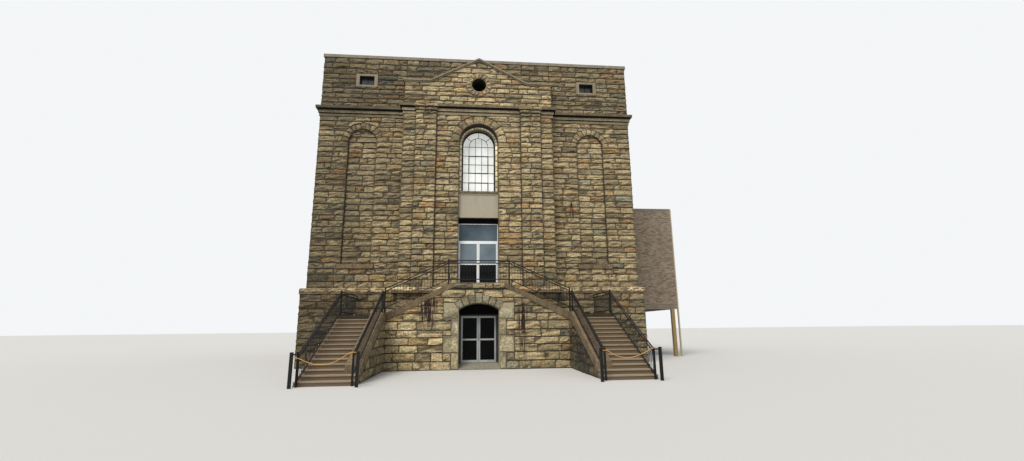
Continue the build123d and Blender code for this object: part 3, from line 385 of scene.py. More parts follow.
# Shades, against 1 for a plain wall: sooty attics, damp plinths, and a podium and gable washed by rain
ATTIC_SHADE, FAR_ATTIC_SHADE, PLINTH_SHADE, FAR_PLINTH_SHADE, WASHED_SHADE = 0.72, 0.76, 0.8, 0.85, 1.22
main_beds = beds(STRING_TOP, NICHE_FOOT, BAY_SPRING, CORNICE_FOOT)
plinth_beds = beds(0.0, STRING_FOOT, course=0.37)
attic_beds = beds(CORNICE_TOP, WALL_TOP)


def mirrored(side, a, b):
    """Two places on one side of the middle, -1 or 1, the lower one first."""
    return sorted((side * a, side * b))


# %% Stones of the front walls, beside the pavilion
front_face = (0, FRONT, 0)
niche_beds = beds(STRING_TOP, NICHE_FOOT, NICHE_SPRING, CORNICE_FOOT)
back_beds = cut_beds(niche_beds, NICHE_SILL, CORNICE_FOOT)
front_stones = []
for side in (-1, 1):
    middle, span = side * NICHE_X, mirrored(side, PAVILION, HALF)
    foot_span = mirrored(side, PAVILION, HALF + PLINTH_OUT)
    inner_arch, arch = ((middle, NICHE_SPRING, NICHE_HALF + ring, NICHE_SPRING) for ring in (0, NICHE_RING))
    niche = opening(middle, NICHE_HALF, NICHE_SILL, NICHE_SPRING)
    sill = opening(middle, NICHE_SILL_HALF, NICHE_FOOT, NICHE_SILL)
    window = opening(side * ATTIC_X, ATTIC_HALF, ATTIC_FOOT, ATTIC_HEAD)
    front_stones += [
        wall_stones(front_face, X, lay(niche_beds, span, [niche, sill], [arch]), [arch]),
        ring_stones(front_face, X, middle, NICHE_SPRING, NICHE_HALF, NICHE_HALF + NICHE_RING, NICHE_WEDGES,
                    shade=0.9),
        wall_stones((0, FRONT + NICHE_DEPTH, 0), X, lay(back_beds, niche[:2]), inside=inner_arch),
        wall_stones((0, FRONT - PLINTH_OUT, 0), X, lay(plinth_beds, foot_span), shade=PLINTH_SHADE),
        wall_stones(front_face, X, lay(attic_beds, span, [window]), shade=ATTIC_SHADE),
    ]
stone_piece("front_wall_stones", front_stones)

# %% [markdown]
# The pavilion stands forward, with a pilaster each side of the bay. Its gable rises above the cornice with
# broken slopes, and the stones there are cut to the slope, which is a trim: a height for each place along
# the face.

# %% Sizes of the pavilion
CAP_OUT, CAP_LIP, CAP_FOOT, CAP_MIDDLE = 0.05, 0.11, 13.215, 13.40
PILASTER_WIDE = 1.1
PILASTER_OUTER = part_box("pilasters")[1].x - CAP_LIP
PILASTER_INNER = PILASTER_OUTER - PILASTER_WIDE
PILASTER_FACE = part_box("pilasters")[0].y + CAP_LIP
SHOULDER, KNEE, APEX = 14.92, 2.65, 16.31
OCULUS_Z, OCULUS_R, OCULUS_RING, OCULUS_WEDGES, SURROUND_OUT = 14.87, 0.39, 0.31, 16, 0.03
STRING_GAP, PAVILION_FOOT = 1.641, 2.3


def gable_line(u):
    """The gable's slopes: level shoulders, then straight up to the peak."""
    return np.interp(np.abs(u), [0, KNEE, PAVILION], [APEX, SHOULDER, SHOULDER])


# %% Stones of the pavilion, up to its gable
face, width = (0, PAVILION_FACE, 0), (-PAVILION, PAVILION)
arch = (0.0, BAY_SPRING, BAY + BAY_RING, BAY_SPRING)
low_beds = beds(PAVILION_FOOT, STRING_FOOT, STRING_TOP)
holes = [opening(0, BAY, 0, BAY_SPRING)]
for side in (-1, 1):
    holes.append((*mirrored(side, PILASTER_INNER, PILASTER_OUTER), STRING_TOP, CORNICE_FOOT))
    holes.append((*mirrored(side, STRING_GAP, HALF), STRING_FOOT, STRING_TOP))
pavilion_stones = [wall_stones(face, X, lay(low_beds + main_beds[1:], width, holes, [arch]), [arch])]
pavilion_stones += keyed_ring(face, BAY_SPRING, BAY, BAY + BAY_RING, 90, BAY_KEY, BAY_WEDGES, swell=0.045)
for side in (-1, 1):
    # A pilaster's shaft, and the two steps of its cap
    for out, foot, head in ((0, STRING_TOP, CAP_FOOT), (CAP_OUT, CAP_FOOT, CAP_MIDDLE),
                            (CAP_LIP, CAP_MIDDLE, CORNICE_TOP)):
        span = mirrored(side, PILASTER_INNER - out, PILASTER_OUTER + out)
        rects = lay(cut_beds(main_beds, foot, head), span, length=0.6)
        pavilion_stones.append(wall_stones((0, PILASTER_FACE - out, 0), X, rects, shade=1.0 + 2 * out))
    start, along, edges = (side * PAVILION, 0, 0), Y * side, mirrored(side, PAVILION_FACE, FRONT)
    rects = np.concatenate([lay(main_beds, edges), lay(low_beds[:-1], edges)])
    pavilion_stones.append(wall_stones(start, along, rects))
    rects = lay(cut_beds(attic_beds, CORNICE_TOP, SHOULDER), edges)
    pavilion_stones.append(wall_stones(start, along, rects, shade=ATTIC_SHADE))

# %% Stones of the gable, round its vent, and of the wall behind it
vent = (0.0, OCULUS_Z, OCULUS_R + OCULUS_RING, 0.0)
rects = lay(attic_beds, width, [], [vent])
pavilion_stones += [
    wall_stones(face, X, rects, [vent], trim=gable_line, shade=WASHED_SHADE),
    ring_stones((0, PAVILION_FACE - SURROUND_OUT, 0), X, 0, OCULUS_Z, OCULUS_R, OCULUS_R + OCULUS_RING,
                OCULUS_WEDGES, -180, 180, margin=0.03),
]
rects = lay([b for b in attic_beds if b > SHOULDER], width)
rects = rects[rects[:, 2] + LEAST_COURSE > gable_line((rects[:, 0] + rects[:, 1]) / 2)]
pavilion_stones.append(wall_stones(front_face, X, rects, shade=ATTIC_SHADE))
stone_piece("pavilion_stones", pavilion_stones)

# %% [markdown]
# ## Sides and back
# The sides and the back can't be seen in the photograph. They repeat what the front shows: the plinth, the
# courses, a low window and a tall arched one in each bay, and a small one in the attic.

# %% Stones of the side and rear walls
LOW_HALF, LOW_FOOT, LOW_HEAD = 0.65, 4.67, 7.16
TALL_HALF, TALL_FOOT, RING, RING_WEDGES = 0.9, 8.73, 0.4, 9
LINTEL_HIGH, LINTEL_END = 0.32, 0.2
ANNEX_SPAN, ANNEX_FOOT, ANNEX_TOP = (FRONT + 4.0, FRONT + 11.3), 2.83, 9.2
side_beds = beds(STRING_TOP, LOW_FOOT, LOW_HEAD, LOW_HEAD + LINTEL_HIGH, TALL_FOOT, BAY_SPRING, CORNICE_FOOT)


def bay_middles(half, count):
    """Middles of equal bays along a face that reaches half its length each side of nil."""
    return -half + 2 * half * (np.arange(count) + 0.5) / count


def plain_wall(name, start, along, half, middles, windows, covered):
    """One unseen wall: courses round its windows, lintels, arch rings, attic and plinth."""
    placed, holes, arches = [], [], []
    for middle in windows:
        lintel = opening(middle, LOW_HALF + LINTEL_END, LOW_HEAD, LOW_HEAD + LINTEL_HIGH)
        holes += [opening(middle, LOW_HALF, LOW_FOOT, LOW_HEAD), lintel,
                  opening(middle, TALL_HALF, TALL_FOOT, BAY_SPRING)]
        arches.append((middle, BAY_SPRING, TALL_HALF + RING, BAY_SPRING))
        placed += [wall_stones(start, along, np.array([lintel])),
                   ring_stones(start, along, middle, BAY_SPRING, TALL_HALF, TALL_HALF + RING, RING_WEDGES)]
    holes += [(*span, STRING_TOP, ANNEX_TOP) for span in covered]
    low_holes = [(*span, ANNEX_FOOT, STRING_FOOT) for span in covered]
    small = [opening(middle, ATTIC_HALF, ATTIC_FOOT, ATTIC_HEAD) for middle in middles]
    end, foot_start = half + PLINTH_OUT, start + np.cross(along, UP) * PLINTH_OUT
    placed += [
        wall_stones(start, along, lay(side_beds, (-half, half), holes, arches), arches),
        wall_stones(start, along, lay(attic_beds, (-half, half), small), shade=FAR_ATTIC_SHADE),
        wall_stones(foot_start, along, lay(plinth_beds, (-end, end), low_holes), shade=FAR_PLINTH_SHADE),
    ]
    stone_piece(name, placed)


bays, rear_bays = bay_middles(BACK, 4), bay_middles(HALF, 3)
open_bays = [b for b in bays if not ANNEX_SPAN[0] < b < ANNEX_SPAN[1]]
far_walls = {
    "right_wall_stones": ((HALF, 0, 0), Y, BACK, bays, open_bays, [ANNEX_SPAN]),
    "left_wall_stones": ((-HALF, 0, 0), -Y, BACK, bays, bays, []),
    "rear_wall_stones": ((0, BACK, 0), -X, HALF, rear_bays, rear_bays, []),
}
for name, wall in far_walls.items():
    plain_wall(name, *wall)

# %% [markdown]
# ## The podium
# The podium's stones are larger and lighter than the wall's. They stop at the quoins beside the entrance,
# at the arch over it, and under the sloping bands of the stairs.

# %% Sizes of the podium and the entrance
PODIUM, PODIUM_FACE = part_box("podium")[1].x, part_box("podium")[0].y
ENTRY_HALF, ENTRY_SPRING, ENTRY_CROWN = 0.906, 2.6, 2.884
VOUSSOIR, KEY_RISE, KEY_HALF, WEDGES = 0.4, 0.08, 0.19, 7
entry_rise = ENTRY_CROWN - ENTRY_SPRING
entry_radius = (ENTRY_HALF ** 2 + entry_rise ** 2) / (2 * entry_rise)
entry_middle = ENTRY_CROWN - entry_radius
QUOIN_TOP, QUOIN_COURSES, QUOIN_HALVES, QUOIN_END = 2.93, 4, (1.235, 1.595), 0.12
quoins = [opening(0, QUOIN_HALVES[i % 2], QUOIN_TOP * i / QUOIN_COURSES, QUOIN_TOP * (i + 1) / QUOIN_COURSES)
          for i in range(QUOIN_COURSES)]
landing_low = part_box("landing_slab")[0]
LANDING_HALF, LANDING_EDGE = 1.18, [3.55, 3.82]
BAND_FOOT = 2.125
cheek_low, cheek_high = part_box("cheek_walls")
flights_low, flights_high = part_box("lower_flights")
RISE, GOING = 0.158, 0.327
print("entrance arch: radius", round(entry_radius, 3), "slope of the lower flights", round(RISE / GOING, 3))


def under_band(u):
    """Height of the lower edge of the sloping bands on the podium's front."""
    return np.interp(np.abs(u), [LANDING_HALF, PODIUM], [landing_low.z, BAND_FOOT])


def under_cheek(y):
    """Height of the lower edge of the band on a cheek wall, by its place from front to back."""
    return np.clip(cheek_high.z + (y - cheek_high.y) * (RISE / GOING), 0, cheek_high.z)


# %% Stones of the podium and the cheek walls
# The inner faces of the cheek walls are painted darker, for the shade beside the stairs
CHEEK_LENGTH, CHEEK_PAINTED_SHADE, UNDER_BAND = 0.7, 0.7, 0.02
crown = entry_middle + entry_radius + VOUSSOIR
arch = (0.0, entry_middle, entry_radius + VOUSSOIR, QUOIN_TOP)
holes = quoins + [opening(0, KEY_HALF, crown, crown + KEY_RISE)]
rects = lay(plinth_beds, (-PODIUM, PODIUM), holes, [arch], length=0.8)
podium_stones = [wall_stones((0, PODIUM_FACE, 0), X, rects, [arch], trim=under_band, shade=WASHED_SHADE)]
rects = lay(LANDING_EDGE, (-LANDING_HALF, LANDING_HALF), length=0.6)
podium_stones.append(wall_stones((0, landing_low.y, 0), X, rects, shade=0.85))
for side in (-1, 1):
    rects = lay(plinth_beds, mirrored(-side, cheek_low.y, PODIUM_FACE), length=CHEEK_LENGTH)
    podium_stones.append(wall_stones((side * PODIUM, 0, 0), -Y * side, rects,
                                     trim=lambda u: under_cheek(-side * u), shade=CHEEK_PAINTED_SHADE))
    rects = lay(plinth_beds, mirrored(side, flights_low.y, FRONT - PLINTH_OUT), length=CHEEK_LENGTH)
    podium_stones.append(wall_stones((side * flights_high.x, 0, 0), Y * side, rects,
                                     trim=lambda u: under_cheek(side * u) + UNDER_BAND, shade=0.95))
stone_piece("podium_stones", podium_stones)

# %% [markdown]
# The quoins and wedges of the entrance are dressed stones with a flat chiselled margin and a pitched
# middle. The frame has their blocks, so only the raised middles are added, with a wide margin and a gentle
# swell.

# %% Raised middles of the entrance's quoins and wedges
dressed_face = (0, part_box("entrance_quoins")[0].y, 0)
pitched = dict(swell=0.022, rough=0.007, edge=0.012, margin=0.028, ragged=0.15)
heads = [quoin[3] for quoin in quoins[:-1]] + [ENTRY_SPRING + QUOIN_END]
rects = [rect for (_, u1, v0, _), head in zip(quoins, heads)
         for rect in ((ENTRY_HALF, u1, v0, head), (-u1, -ENTRY_HALF, v0, head))]
half_angle = np.degrees(np.arcsin(ENTRY_HALF / entry_radius))
entrance = [wall_stones(dressed_face, X, np.array(rects), **pitched)]
entrance += keyed_ring(dressed_face, entry_middle, entry_radius, entry_radius + VOUSSOIR, half_angle,
                       half_angle / WEDGES, WEDGES // 2, KEY_RISE, shade=0.7, **pitched)
stone_piece("entrance_stone_faces", entrance)

# %% [markdown]
# ## The string course
# The band over the plinth is a row of long stones with a rounded top and a broken underside. One profile is
# carried along each stretch of wall: t runs from the wall, under the band, round its nose and back over the
# top, and s runs along the stone.

# %% Long stones of the string course
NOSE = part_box("string_course")[1].x - HALF
# The band's stones are painted half as bright again as the wall's, a painted light on the rounded top
NOSE_GAP, NOSE_SWELL, STRING_PAINTED_LIGHT = 1.65, 0.012, 1.5
band_high = STRING_TOP - STRING_FOOT
# Each row of the profile: how far out, how high, how rough, and how light, as painted shade under the band
# and painted light on its top
profile_out = np.array([0.0, 0.62, 0.97, 1.0, 0.84, 0.0])[:, None] * (NOSE + NOSE_SWELL)
profile_up = np.array([-0.012, -0.02, 0.24 * band_high, 0.6 * band_high, band_high + 0.008,
                       band_high + 0.014])[:, None]
profile_rough = np.array([0, 0.018, 0.02, 0.016, 0.008, 0])[:, None]
profile_painted_light = np.array([0, 0, 0.007, 0.028, 0.04, 0.03])[:, None]


def string_stones(start, along, edges, length=1.25):
    """Stones of the band along one face: place = start + u along + profile(t) out and up, roughened."""
    count = max(1, round((edges[1] - edges[0]) / length))
    cuts = uneven(*edges, count, least=0.75, most=1.25)[:, None, None]
    s = np.linspace(0, 1, ACROSS)
    u = cuts[:-1] + JOINT / 2 + s * (cuts[1:] - cuts[:-1] - JOINT)
    rough = np.maximum(rng.normal(0, 1, (count, RISING, ACROSS)) * profile_rough, -0.01)
    at_end = (s == 0) | (s == 1)
    out = np.maximum(profile_out + rough + np.where(at_end, -0.014, 0) * (profile_out > 0), 0)
    points = place(start, along, u, STRING_FOOT + profile_up + 0.5 * rough, out)
    # These values darken the underside and the ends and lighten the top: painted shade and painted light
    painted_light = profile_painted_light * np.where(at_end, 0.2, 1)
    return points, np.broadcast_to(painted_light, out.shape), STRING_PAINTED_LIGHT


faces = [(front_face, X, (-HALF - NOSE, -PAVILION)), (front_face, X, (PAVILION, HALF + NOSE)),
         ((0, BACK, 0), -X, (-HALF - NOSE, HALF + NOSE)), ((-HALF, 0, 0), -Y, (FRONT, BACK)),
         ((HALF, 0, 0), Y, (FRONT, ANNEX_SPAN[0])), ((HALF, 0, 0), Y, (ANNEX_SPAN[1], BACK)),
         (face, X, (NOSE_GAP, PAVILION + NOSE)), (face, X, (-PAVILION - NOSE, -NOSE_GAP))]
stone_piece("string_course_stones", [string_stones(*f) for f in faces])

# %% [markdown]
# ## Window bars
# The great window has thin leads in five columns, heavier bars round its two casements, and a fan in its
# head. A bar is a box between two points of the window's plane, so all bars of all windows are one array of
# boxes.

# %% Boxes between points of a plane
BOX_FACES = np.array([[0, 1, 2, 3], [7, 6, 5, 4], [0, 4, 5, 1], [1, 5, 6, 2], [2, 6, 7, 3], [3, 7, 4, 0]])


def bar_boxes(start, along, bars, back=0.255, front=0.215):
    """Boxes for bars (u0, v0, u1, v1, width) in a window's plane, between two depths behind the face."""
    bars = np.array(bars, float)
    a, b, wide = bars[:, 0:2], bars[:, 2:4], bars[:, 4:5] / 2
    run = (b - a) / np.linalg.norm(b - a, axis=1, keepdims=True)
    across = np.stack([-run[:, 1], run[:, 0]], 1) * wide
    u, v = np.moveaxis(np.stack([a - across, b - across, b + across, a + across], 1), 2, 0)
    return np.concatenate([place(start, along, u, v, 0 * u - depth) for depth in (front, back)], 1)


def box_piece(name, boxes):
    """Joins arrays of eight-cornered boxes into one piece."""
    points = np.concatenate(boxes)
    count = len(points)
    faces = (BOX_FACES[None] + 8 * np.arange(count)[:, None, None]).reshape(-1, 4)
    values = {"pick": np.repeat(rng.uniform(0, 1, count), 8),
              "tone": np.repeat(rng.normal(1, 0.07, count), 8)}
    add_piece(name, points.reshape(-1, 3), [faces], values)


# %% Bars of the arched, low and attic windows
LEAD, STOUT_LEAD, CASEMENT, SILL, FRAME = 0.022, 1.4 * 0.022, 0.045, 8.83, 0.07
CLEAR_HALF = TALL_HALF - FRAME
ROWS = [BAY_SPRING, 11.0, 10.51, 10.03, 9.48]
COLUMNS = [-0.517, -0.172, 0.172, 0.517]
FAN_SPOKES, FAN_SIDES = (-50, 0, 50), 12
BAY_DEPTH = 0.5
# Half width, foot, head, columns and rows of the panes of a low window and of an attic window
LOW_PANES, ATTIC_PANES = (LOW_HALF - FRAME, 4.97, 7.09, 2, 2), (0.33, 15.02, 15.42, 2, 1)


def arched_bars(middle):
    """Leads, casement bars, and the ring and spokes of the head, for one arched window."""
    first, *inner, last = COLUMNS
    bars = [(middle + x, SILL, middle + x, BAY_SPRING, LEAD) for x in (first, last)]
    bars += [(middle + x, SILL, middle + x, BAY_SPRING + (last ** 2 - x ** 2) ** 0.5, LEAD) for x in inner]
    bars += [(middle - CLEAR_HALF, z, middle + CLEAR_HALF, z, LEAD) for z in ROWS]
    for low, high in ((ROWS[3], ROWS[1]), (SILL + 0.05, ROWS[4])):
        bars += [(middle + first, z, middle + last, z, CASEMENT) for z in (low, high)]
        bars += [(middle + x, low, middle + x, high, CASEMENT) for x in (first, last)]
    turn = np.linspace(-pi / 2, pi / 2, FAN_SIDES + 1)
    ring = np.stack([middle + last * np.sin(turn), BAY_SPRING + last * np.cos(turn)], 1)
    bars += [(*p, *q, LEAD) for p, q in zip(ring[:-1], ring[1:])]
    for angle in np.radians(FAN_SPOKES):
        ends = [(middle + r * sin(angle), BAY_SPRING + r * cos(angle)) for r in (last, CLEAR_HALF)]
        bars.append((*ends[0], *ends[1], LEAD))
    return bars


def plain_bars(middle, half, low, high, columns, rows):
    """An even grid of bars for a square-headed window."""
    across = np.linspace(middle - half, middle + half, columns + 1)[1:-1]
    rising = np.linspace(low, high, rows + 1)[1:-1]
    bars = [(x, low, x, high, STOUT_LEAD) for x in across]
    return bars + [(middle - half, z, middle + half, z, LEAD) for z in rising]


boxes = [bar_boxes((0, PAVILION_FACE + BAY_DEPTH, 0), X, arched_bars(0))]
for start, along, _, middles, windows, _ in far_walls.values():
    for middle in windows:
        boxes.append(bar_boxes(start, along, arched_bars(middle)))
        boxes.append(bar_boxes(start, along, plain_bars(middle, *LOW_PANES)))
    boxes += [bar_boxes(start, along, plain_bars(middle, *ATTIC_PANES)) for middle in middles]
boxes += [bar_boxes(front_face, X, plain_bars(middle, *ATTIC_PANES)) for middle in (-ATTIC_X, ATTIC_X)]
box_piece("window_bars", boxes)

# %% A tie plate of the inner floor's iron, high on the front wall
ANCHOR_X, ANCHOR_Z, ANCHOR_HALF, ANCHOR_WIDE, ANCHOR_OUT = 5.03, 8.28, 0.12, 0.06, 0.065
anchor = [(ANCHOR_X, ANCHOR_Z - ANCHOR_HALF, ANCHOR_X, ANCHOR_Z + ANCHOR_HALF, ANCHOR_WIDE),
          (ANCHOR_X - ANCHOR_HALF / 2, ANCHOR_Z, ANCHOR_X + ANCHOR_HALF / 2, ANCHOR_Z, ANCHOR_WIDE)]
box_piece("wall_anchor", [bar_boxes(front_face, X, anchor, 0.0, -ANCHOR_OUT)])

# %% [markdown]
# ## Small blocks of the inner arch
# Inside the great arch a second ring of small light blocks frames the window. They sit on the reveal's
# face, and the same light blocks run down the jambs. They are painted far lighter than their stone, a
# painted light where the deep reveal shades them.

# %% Light blocks round the great window
REVEAL_HALF, REVEAL_DEPTH, REVEAL_WEDGES = 0.9, 0.4, 17
reveal_face = (0, PAVILION_FACE + REVEAL_DEPTH, 0)
# A shade of 2.2 is painted light on the blocks
small = dict(swell=0.009, rough=0.003, edge=0.02, margin=0.012, shade=2.2)
reveal = [ring_stones(reveal_face, X, 0, BAY_SPRING, REVEAL_HALF, BAY, REVEAL_WEDGES, **small)]
for side in (-1, 1):
    rects = lay(beds(SILL, BAY_SPRING, course=0.3), mirrored(side, REVEAL_HALF, BAY))
    reveal.append(wall_stones(reveal_face, X, rects, **small))
stone_piece("window_reveal_blocks", reveal)

# %% [markdown]
# ## Bricks of the annex
# The annex is laid in stretcher bond: each course is shifted by half a brick. A brick and its joint are 213
# mm long and 67 mm high, and each brick stands a few millimetres out of its mortar, so that the joints cast
# a shadow.

# %% Bricks on the annex's three faces
BRICK_L, BRICK_H, BRICK_JOINT, BRICK_SUNK, LEAST_BRICK = 0.213, 0.067, 0.01, 0.004, 0.04
annex_low, annex_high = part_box("annex_walls")
annex_start = HALF + 0.02


def bricks(start, along, edges):
    """Boxes of a face in stretcher bond: u = (i - half a step in odd courses) * length, v = j * height."""
    courses = int((annex_high.z - annex_low.z) / BRICK_H)
    j, i = np.mgrid[0:courses, 0:int((edges[1] - edges[0]) / BRICK_L) + 2]
    u0 = edges[0] + (i - (j % 2) * 0.5) * BRICK_L
    u1 = np.minimum(u0 + BRICK_L - BRICK_JOINT, edges[1])
    u0 = np.maximum(u0, edges[0])
    v0 = annex_low.z + j * BRICK_H + BRICK_JOINT / 2
    kept = (u1 - u0 > LEAST_BRICK).ravel()
    u0, u1, v0 = (a.ravel()[kept] for a in (u0, u1, v0))
    v1 = v0 + BRICK_H - BRICK_JOINT
    out = rng.uniform(0.004, 0.009, len(u0))[:, None]
    u, v = np.stack([u0, u1, u1, u0], 1), np.stack([v0, v0, v1, v1], 1)
    return np.concatenate([place(start, along, u, v, depth + 0 * u) for depth in (out, -BRICK_SUNK)], 1)


laid = [bricks((0, annex_low.y, 0), X, (annex_start, annex_high.x)),
        bricks((annex_high.x, 0, 0), Y, (annex_low.y, annex_high.y)),
        bricks((0, annex_high.y, 0), -X, (-annex_high.x, -annex_start))]
box_piece("annex_bricks", laid)

# %% [markdown]
# ## The ropes
# A rope hangs across the foot of each stair. Its line is a smooth curve of order three whose control points
# are the points that the frame's own ropes follow. The rope is laid from three strands, so its outline is
# three lobes that turn as they go: radius = core + lobe |cos(1.5 (angle - twist))|, with one turn in about
# 110 mm.

# %% The lines of the two ropes
ROPE_D, LAY_LENGTH = 0.022, 0.11
CORE, LOBE, SIDES, STEP = 0.76, 0.24, 18, 0.009
newel_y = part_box("rope_left")[0].y + ROPE_D / 2
routes = {
    "rope_right": (1, [(4.020, 1.010), (4.140, 1.012), (4.240, 0.980), (4.350, 0.900), (4.535, 0.815),
                       (4.750, 0.763), (4.985, 0.760), (5.220, 0.810), (5.445, 0.900), (5.650, 1.005),
                       (5.830, 1.085), (5.985, 1.071)]),
    "rope_left": (-1, [(4.020, 1.071), (4.140, 1.078), (4.250, 1.060), (4.365, 0.980), (4.555, 0.855),
                       (4.770, 0.754), (5.005, 0.705), (5.240, 0.707), (5.465, 0.760), (5.670, 0.844),
                       (5.850, 0.930), (5.985, 0.944)]),
}


def smooth_line(points):
    """Points read along a NURBS spline of order three through a list of control points."""
    curve = bpy.data.curves.new("route", "CURVE")
    curve.dimensions = "3D"
    curve.resolution_u = 24
    spline = curve.splines.new("NURBS")
    spline.points.add(len(points) - 1)
    spline.points.foreach_set("co", np.c_[points, np.ones(len(points))].ravel())
    spline.order_u = 3
    spline.use_endpoint_u = True
    holder = bpy.data.objects.new("route", curve)
    mesh = bpy.data.meshes.new_from_object(holder)
    line = np.zeros(len(mesh.vertices) * 3)
    mesh.vertices.foreach_get("co", line)
    bpy.data.objects.remove(holder)
    return line.reshape(-1, 3)


def even_line(line, step):
    """The same line with its points an even step apart."""
    far = np.concatenate([[0], np.cumsum(np.linalg.norm(np.diff(line, axis=0), axis=1))])
    at = np.linspace(0, far[-1], round(far[-1] / step) + 1)
    return np.stack([np.interp(at, far, line[:, i]) for i in range(3)], 1), at


# %% Two laid ropes
for name, (side, route) in routes.items():
    control = np.array([(side * x, newel_y, z) for x, z in route])
    line, far = even_line(smooth_line(control), STEP)
    way = np.gradient(line, axis=0)
    way /= np.linalg.norm(way, axis=1, keepdims=True)
    other = np.cross(way, Y)
    angle = np.linspace(0, 2 * pi, SIDES, endpoint=False)[None, :]
    twist = 2 * pi * far[:, None] / LAY_LENGTH
    radius = ROPE_D / 2 * (CORE + LOBE * np.abs(np.cos(1.5 * (angle - twist))))
    turn = np.cos(angle)[..., None] * Y + np.sin(angle)[..., None] * other[:, None]
    points = line[:, None] + radius[..., None] * turn
    grid = np.arange(radius.size).reshape(radius.shape)
    turned = np.roll(grid, -1, 1)
    quads = np.stack([grid[:-1], grid[1:], turned[1:], turned[:-1]], -1).reshape(-1, 4)
    caps = np.stack([grid[0], grid[-1, ::-1]])
    rope = add_piece(name + "_laid", points.reshape(-1, 3), [quads, caps],
                     {"far": np.repeat(far, SIDES)}, smooth=True)
    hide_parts(name)
    print(name, "length", round(float(far[-1]), 3))

# %% [markdown]
# ## Materials: one helper for nodes
# A material is a small graph. One function adds a node, sets it up and wires its inputs, so each finish
# below reads as a list of steps. Colours are written as hex values, as a paint chart gives them, and turned
# to the linear numbers that the renderer adds and multiplies.

# %% Helpers for colours and nodes
def linear(hex_colour):
    """An sRGB hex colour as linear numbers, with a full alpha."""
    parts = [int(hex_colour[i:i + 2], 16) / 255 for i in (1, 3, 5)]
    return [c / 12.92 if c <= 0.04045 else ((c + 0.055) / 1.055) ** 2.4 for c in parts] + [1.0]


def wire(node, inputs):
    """Gives inputs of a node, in their order or by name, a value or the output of another node."""
    for key, value in inputs.items() if isinstance(inputs, dict) else enumerate(inputs):
        if isinstance(value, bpy.types.NodeSocket):
            node.id_data.links.new(value, node.inputs[key])
        else:
            node.inputs[key].default_value = value


def add_node(tree, kind, inputs=(), out=0, stops=(), **settings):
    """Adds a node, sets it up, and returns one of its outputs. Stops fill a colour ramp.

    Every Mix here mixes two colours by a share, and those are its inputs 6, 7 and 0.
    """
    made = tree.nodes.new("ShaderNode" + kind)
    if kind == "Mix":
        made.data_type, out, inputs = "RGBA", 2, dict(zip((0, 6, 7), inputs))
    for key, value in settings.items():
        setattr(made, key, value)
    ramp = made.color_ramp.elements if stops else ()
    while len(ramp) < len(stops):
        ramp.new(0.5)
    for element, (at, colour) in zip(ramp, stops):
        element.position = at
        element.color = linear(colour)
    wire(made, inputs)
    return made.outputs[out]


def new_material(name, rough, ior=1.5, more=None):
    """A material, the function that adds nodes to it, its shader and its Object coordinates."""
    made = bpy.data.materials.new(name)
    made.use_nodes = True
    print("material", name)
    add = partial(add_node, made.node_tree)
    shader = made.node_tree.nodes["Principled BSDF"]
    wire(shader, {"Roughness": rough, "IOR": ior, **(more or {})})
    return made, add, shader, add("TexCoord", out="Object")


# %% [markdown]
# Four steps come back in nearly every finish: blotches of some size, soot and painted shade on faces
# turned down, a colour darkened by several factors, and the joining of colour and relief to the shader.

# %% Steps that the finishes share
def blotches(add, at, scale, found, given, detail=5.0, rough=0.65):
    """A noise of about 1 / scale metres, and a factor: its range found, stretched to the range given."""
    noise = add("TexNoise", {"Vector": at, "Scale": scale, "Detail": detail, "Roughness": rough})
    return noise, add("MapRange", [noise, *found, *given])


def upward(add):
    """How far a face looks up: the z of its normal."""
    return add("SeparateXYZ", [add("NewGeometry", out="Normal")], out="Z")


def underside_soot_and_shade(add):
    """A factor that darkens faces turned down: soot where rain never washes it off, and painted shade under
    things.
    """
    return add("MapRange", [upward(add), -0.55, 0.05, 0.3, 1.0])


def shaded(add, colour, light, *factors):
    """The colour times the light times every other factor."""
    for factor in factors:
        light = add("Math", [light, factor], operation="MULTIPLY")
    return add("Mix", [1.0, colour, light], blend_type="MULTIPLY")


def surface(add, shader, colour, height, strength, distance):
    """Joins a colour to the shader, and a height as a bump of so many metres."""
    bump = add("Bump", {"Strength": strength, "Distance": distance, "Height": height})
    wire(shader, {"Base Color": colour, "Normal": bump})


# %% [markdown]
# ### Sandstone
# Sandstone is sand cemented by clay and iron. The iron gives each block its own tan, ochre or rust, the
# clay gives grey and olive ones, and a century of soot and damp darkens the joints and the upper walls.
# The joints are darkened by painted shade as well as by dirt. Each stone brings three numbers: pick
# chooses its colour, tone its brightness, painted light and shade included, and relief says how far a
# point stands out of the joint.

# %% Rock-faced sandstone
SAND = [(0.0, "#73674e"), (0.08, "#8f8161"), (0.3, "#9f8e6b"), (0.55, "#ad9c76"), (0.78, "#a18f6e"),
        (0.88, "#99845b"), (0.94, "#9b7b54"), (0.98, "#8a866c"), (1.0, "#797462")]
LIGHT = [(0.0, "#a49b7d"), (0.5, "#b7ad8e"), (1.0, "#aa9e7b")]
# Grit is about 1 mm and beds about 8 mm in the real stone. Both are drawn 60 mm wide, so that they show.
GRIT_SCALE, BED_SCALE = 17.0, (3.0, 3.0, 17.0)
# Chips are 90 mm, ochre patches 430 mm, soot clouds 3 m, and rust runs 70 mm by 800 mm, as they are.
CHIP_SCALE, OCHRE_SCALE, SOOT_SCALE, RUN_SCALE = 11.0, 2.3, 0.35, (14.0, 14.0, 1.2)


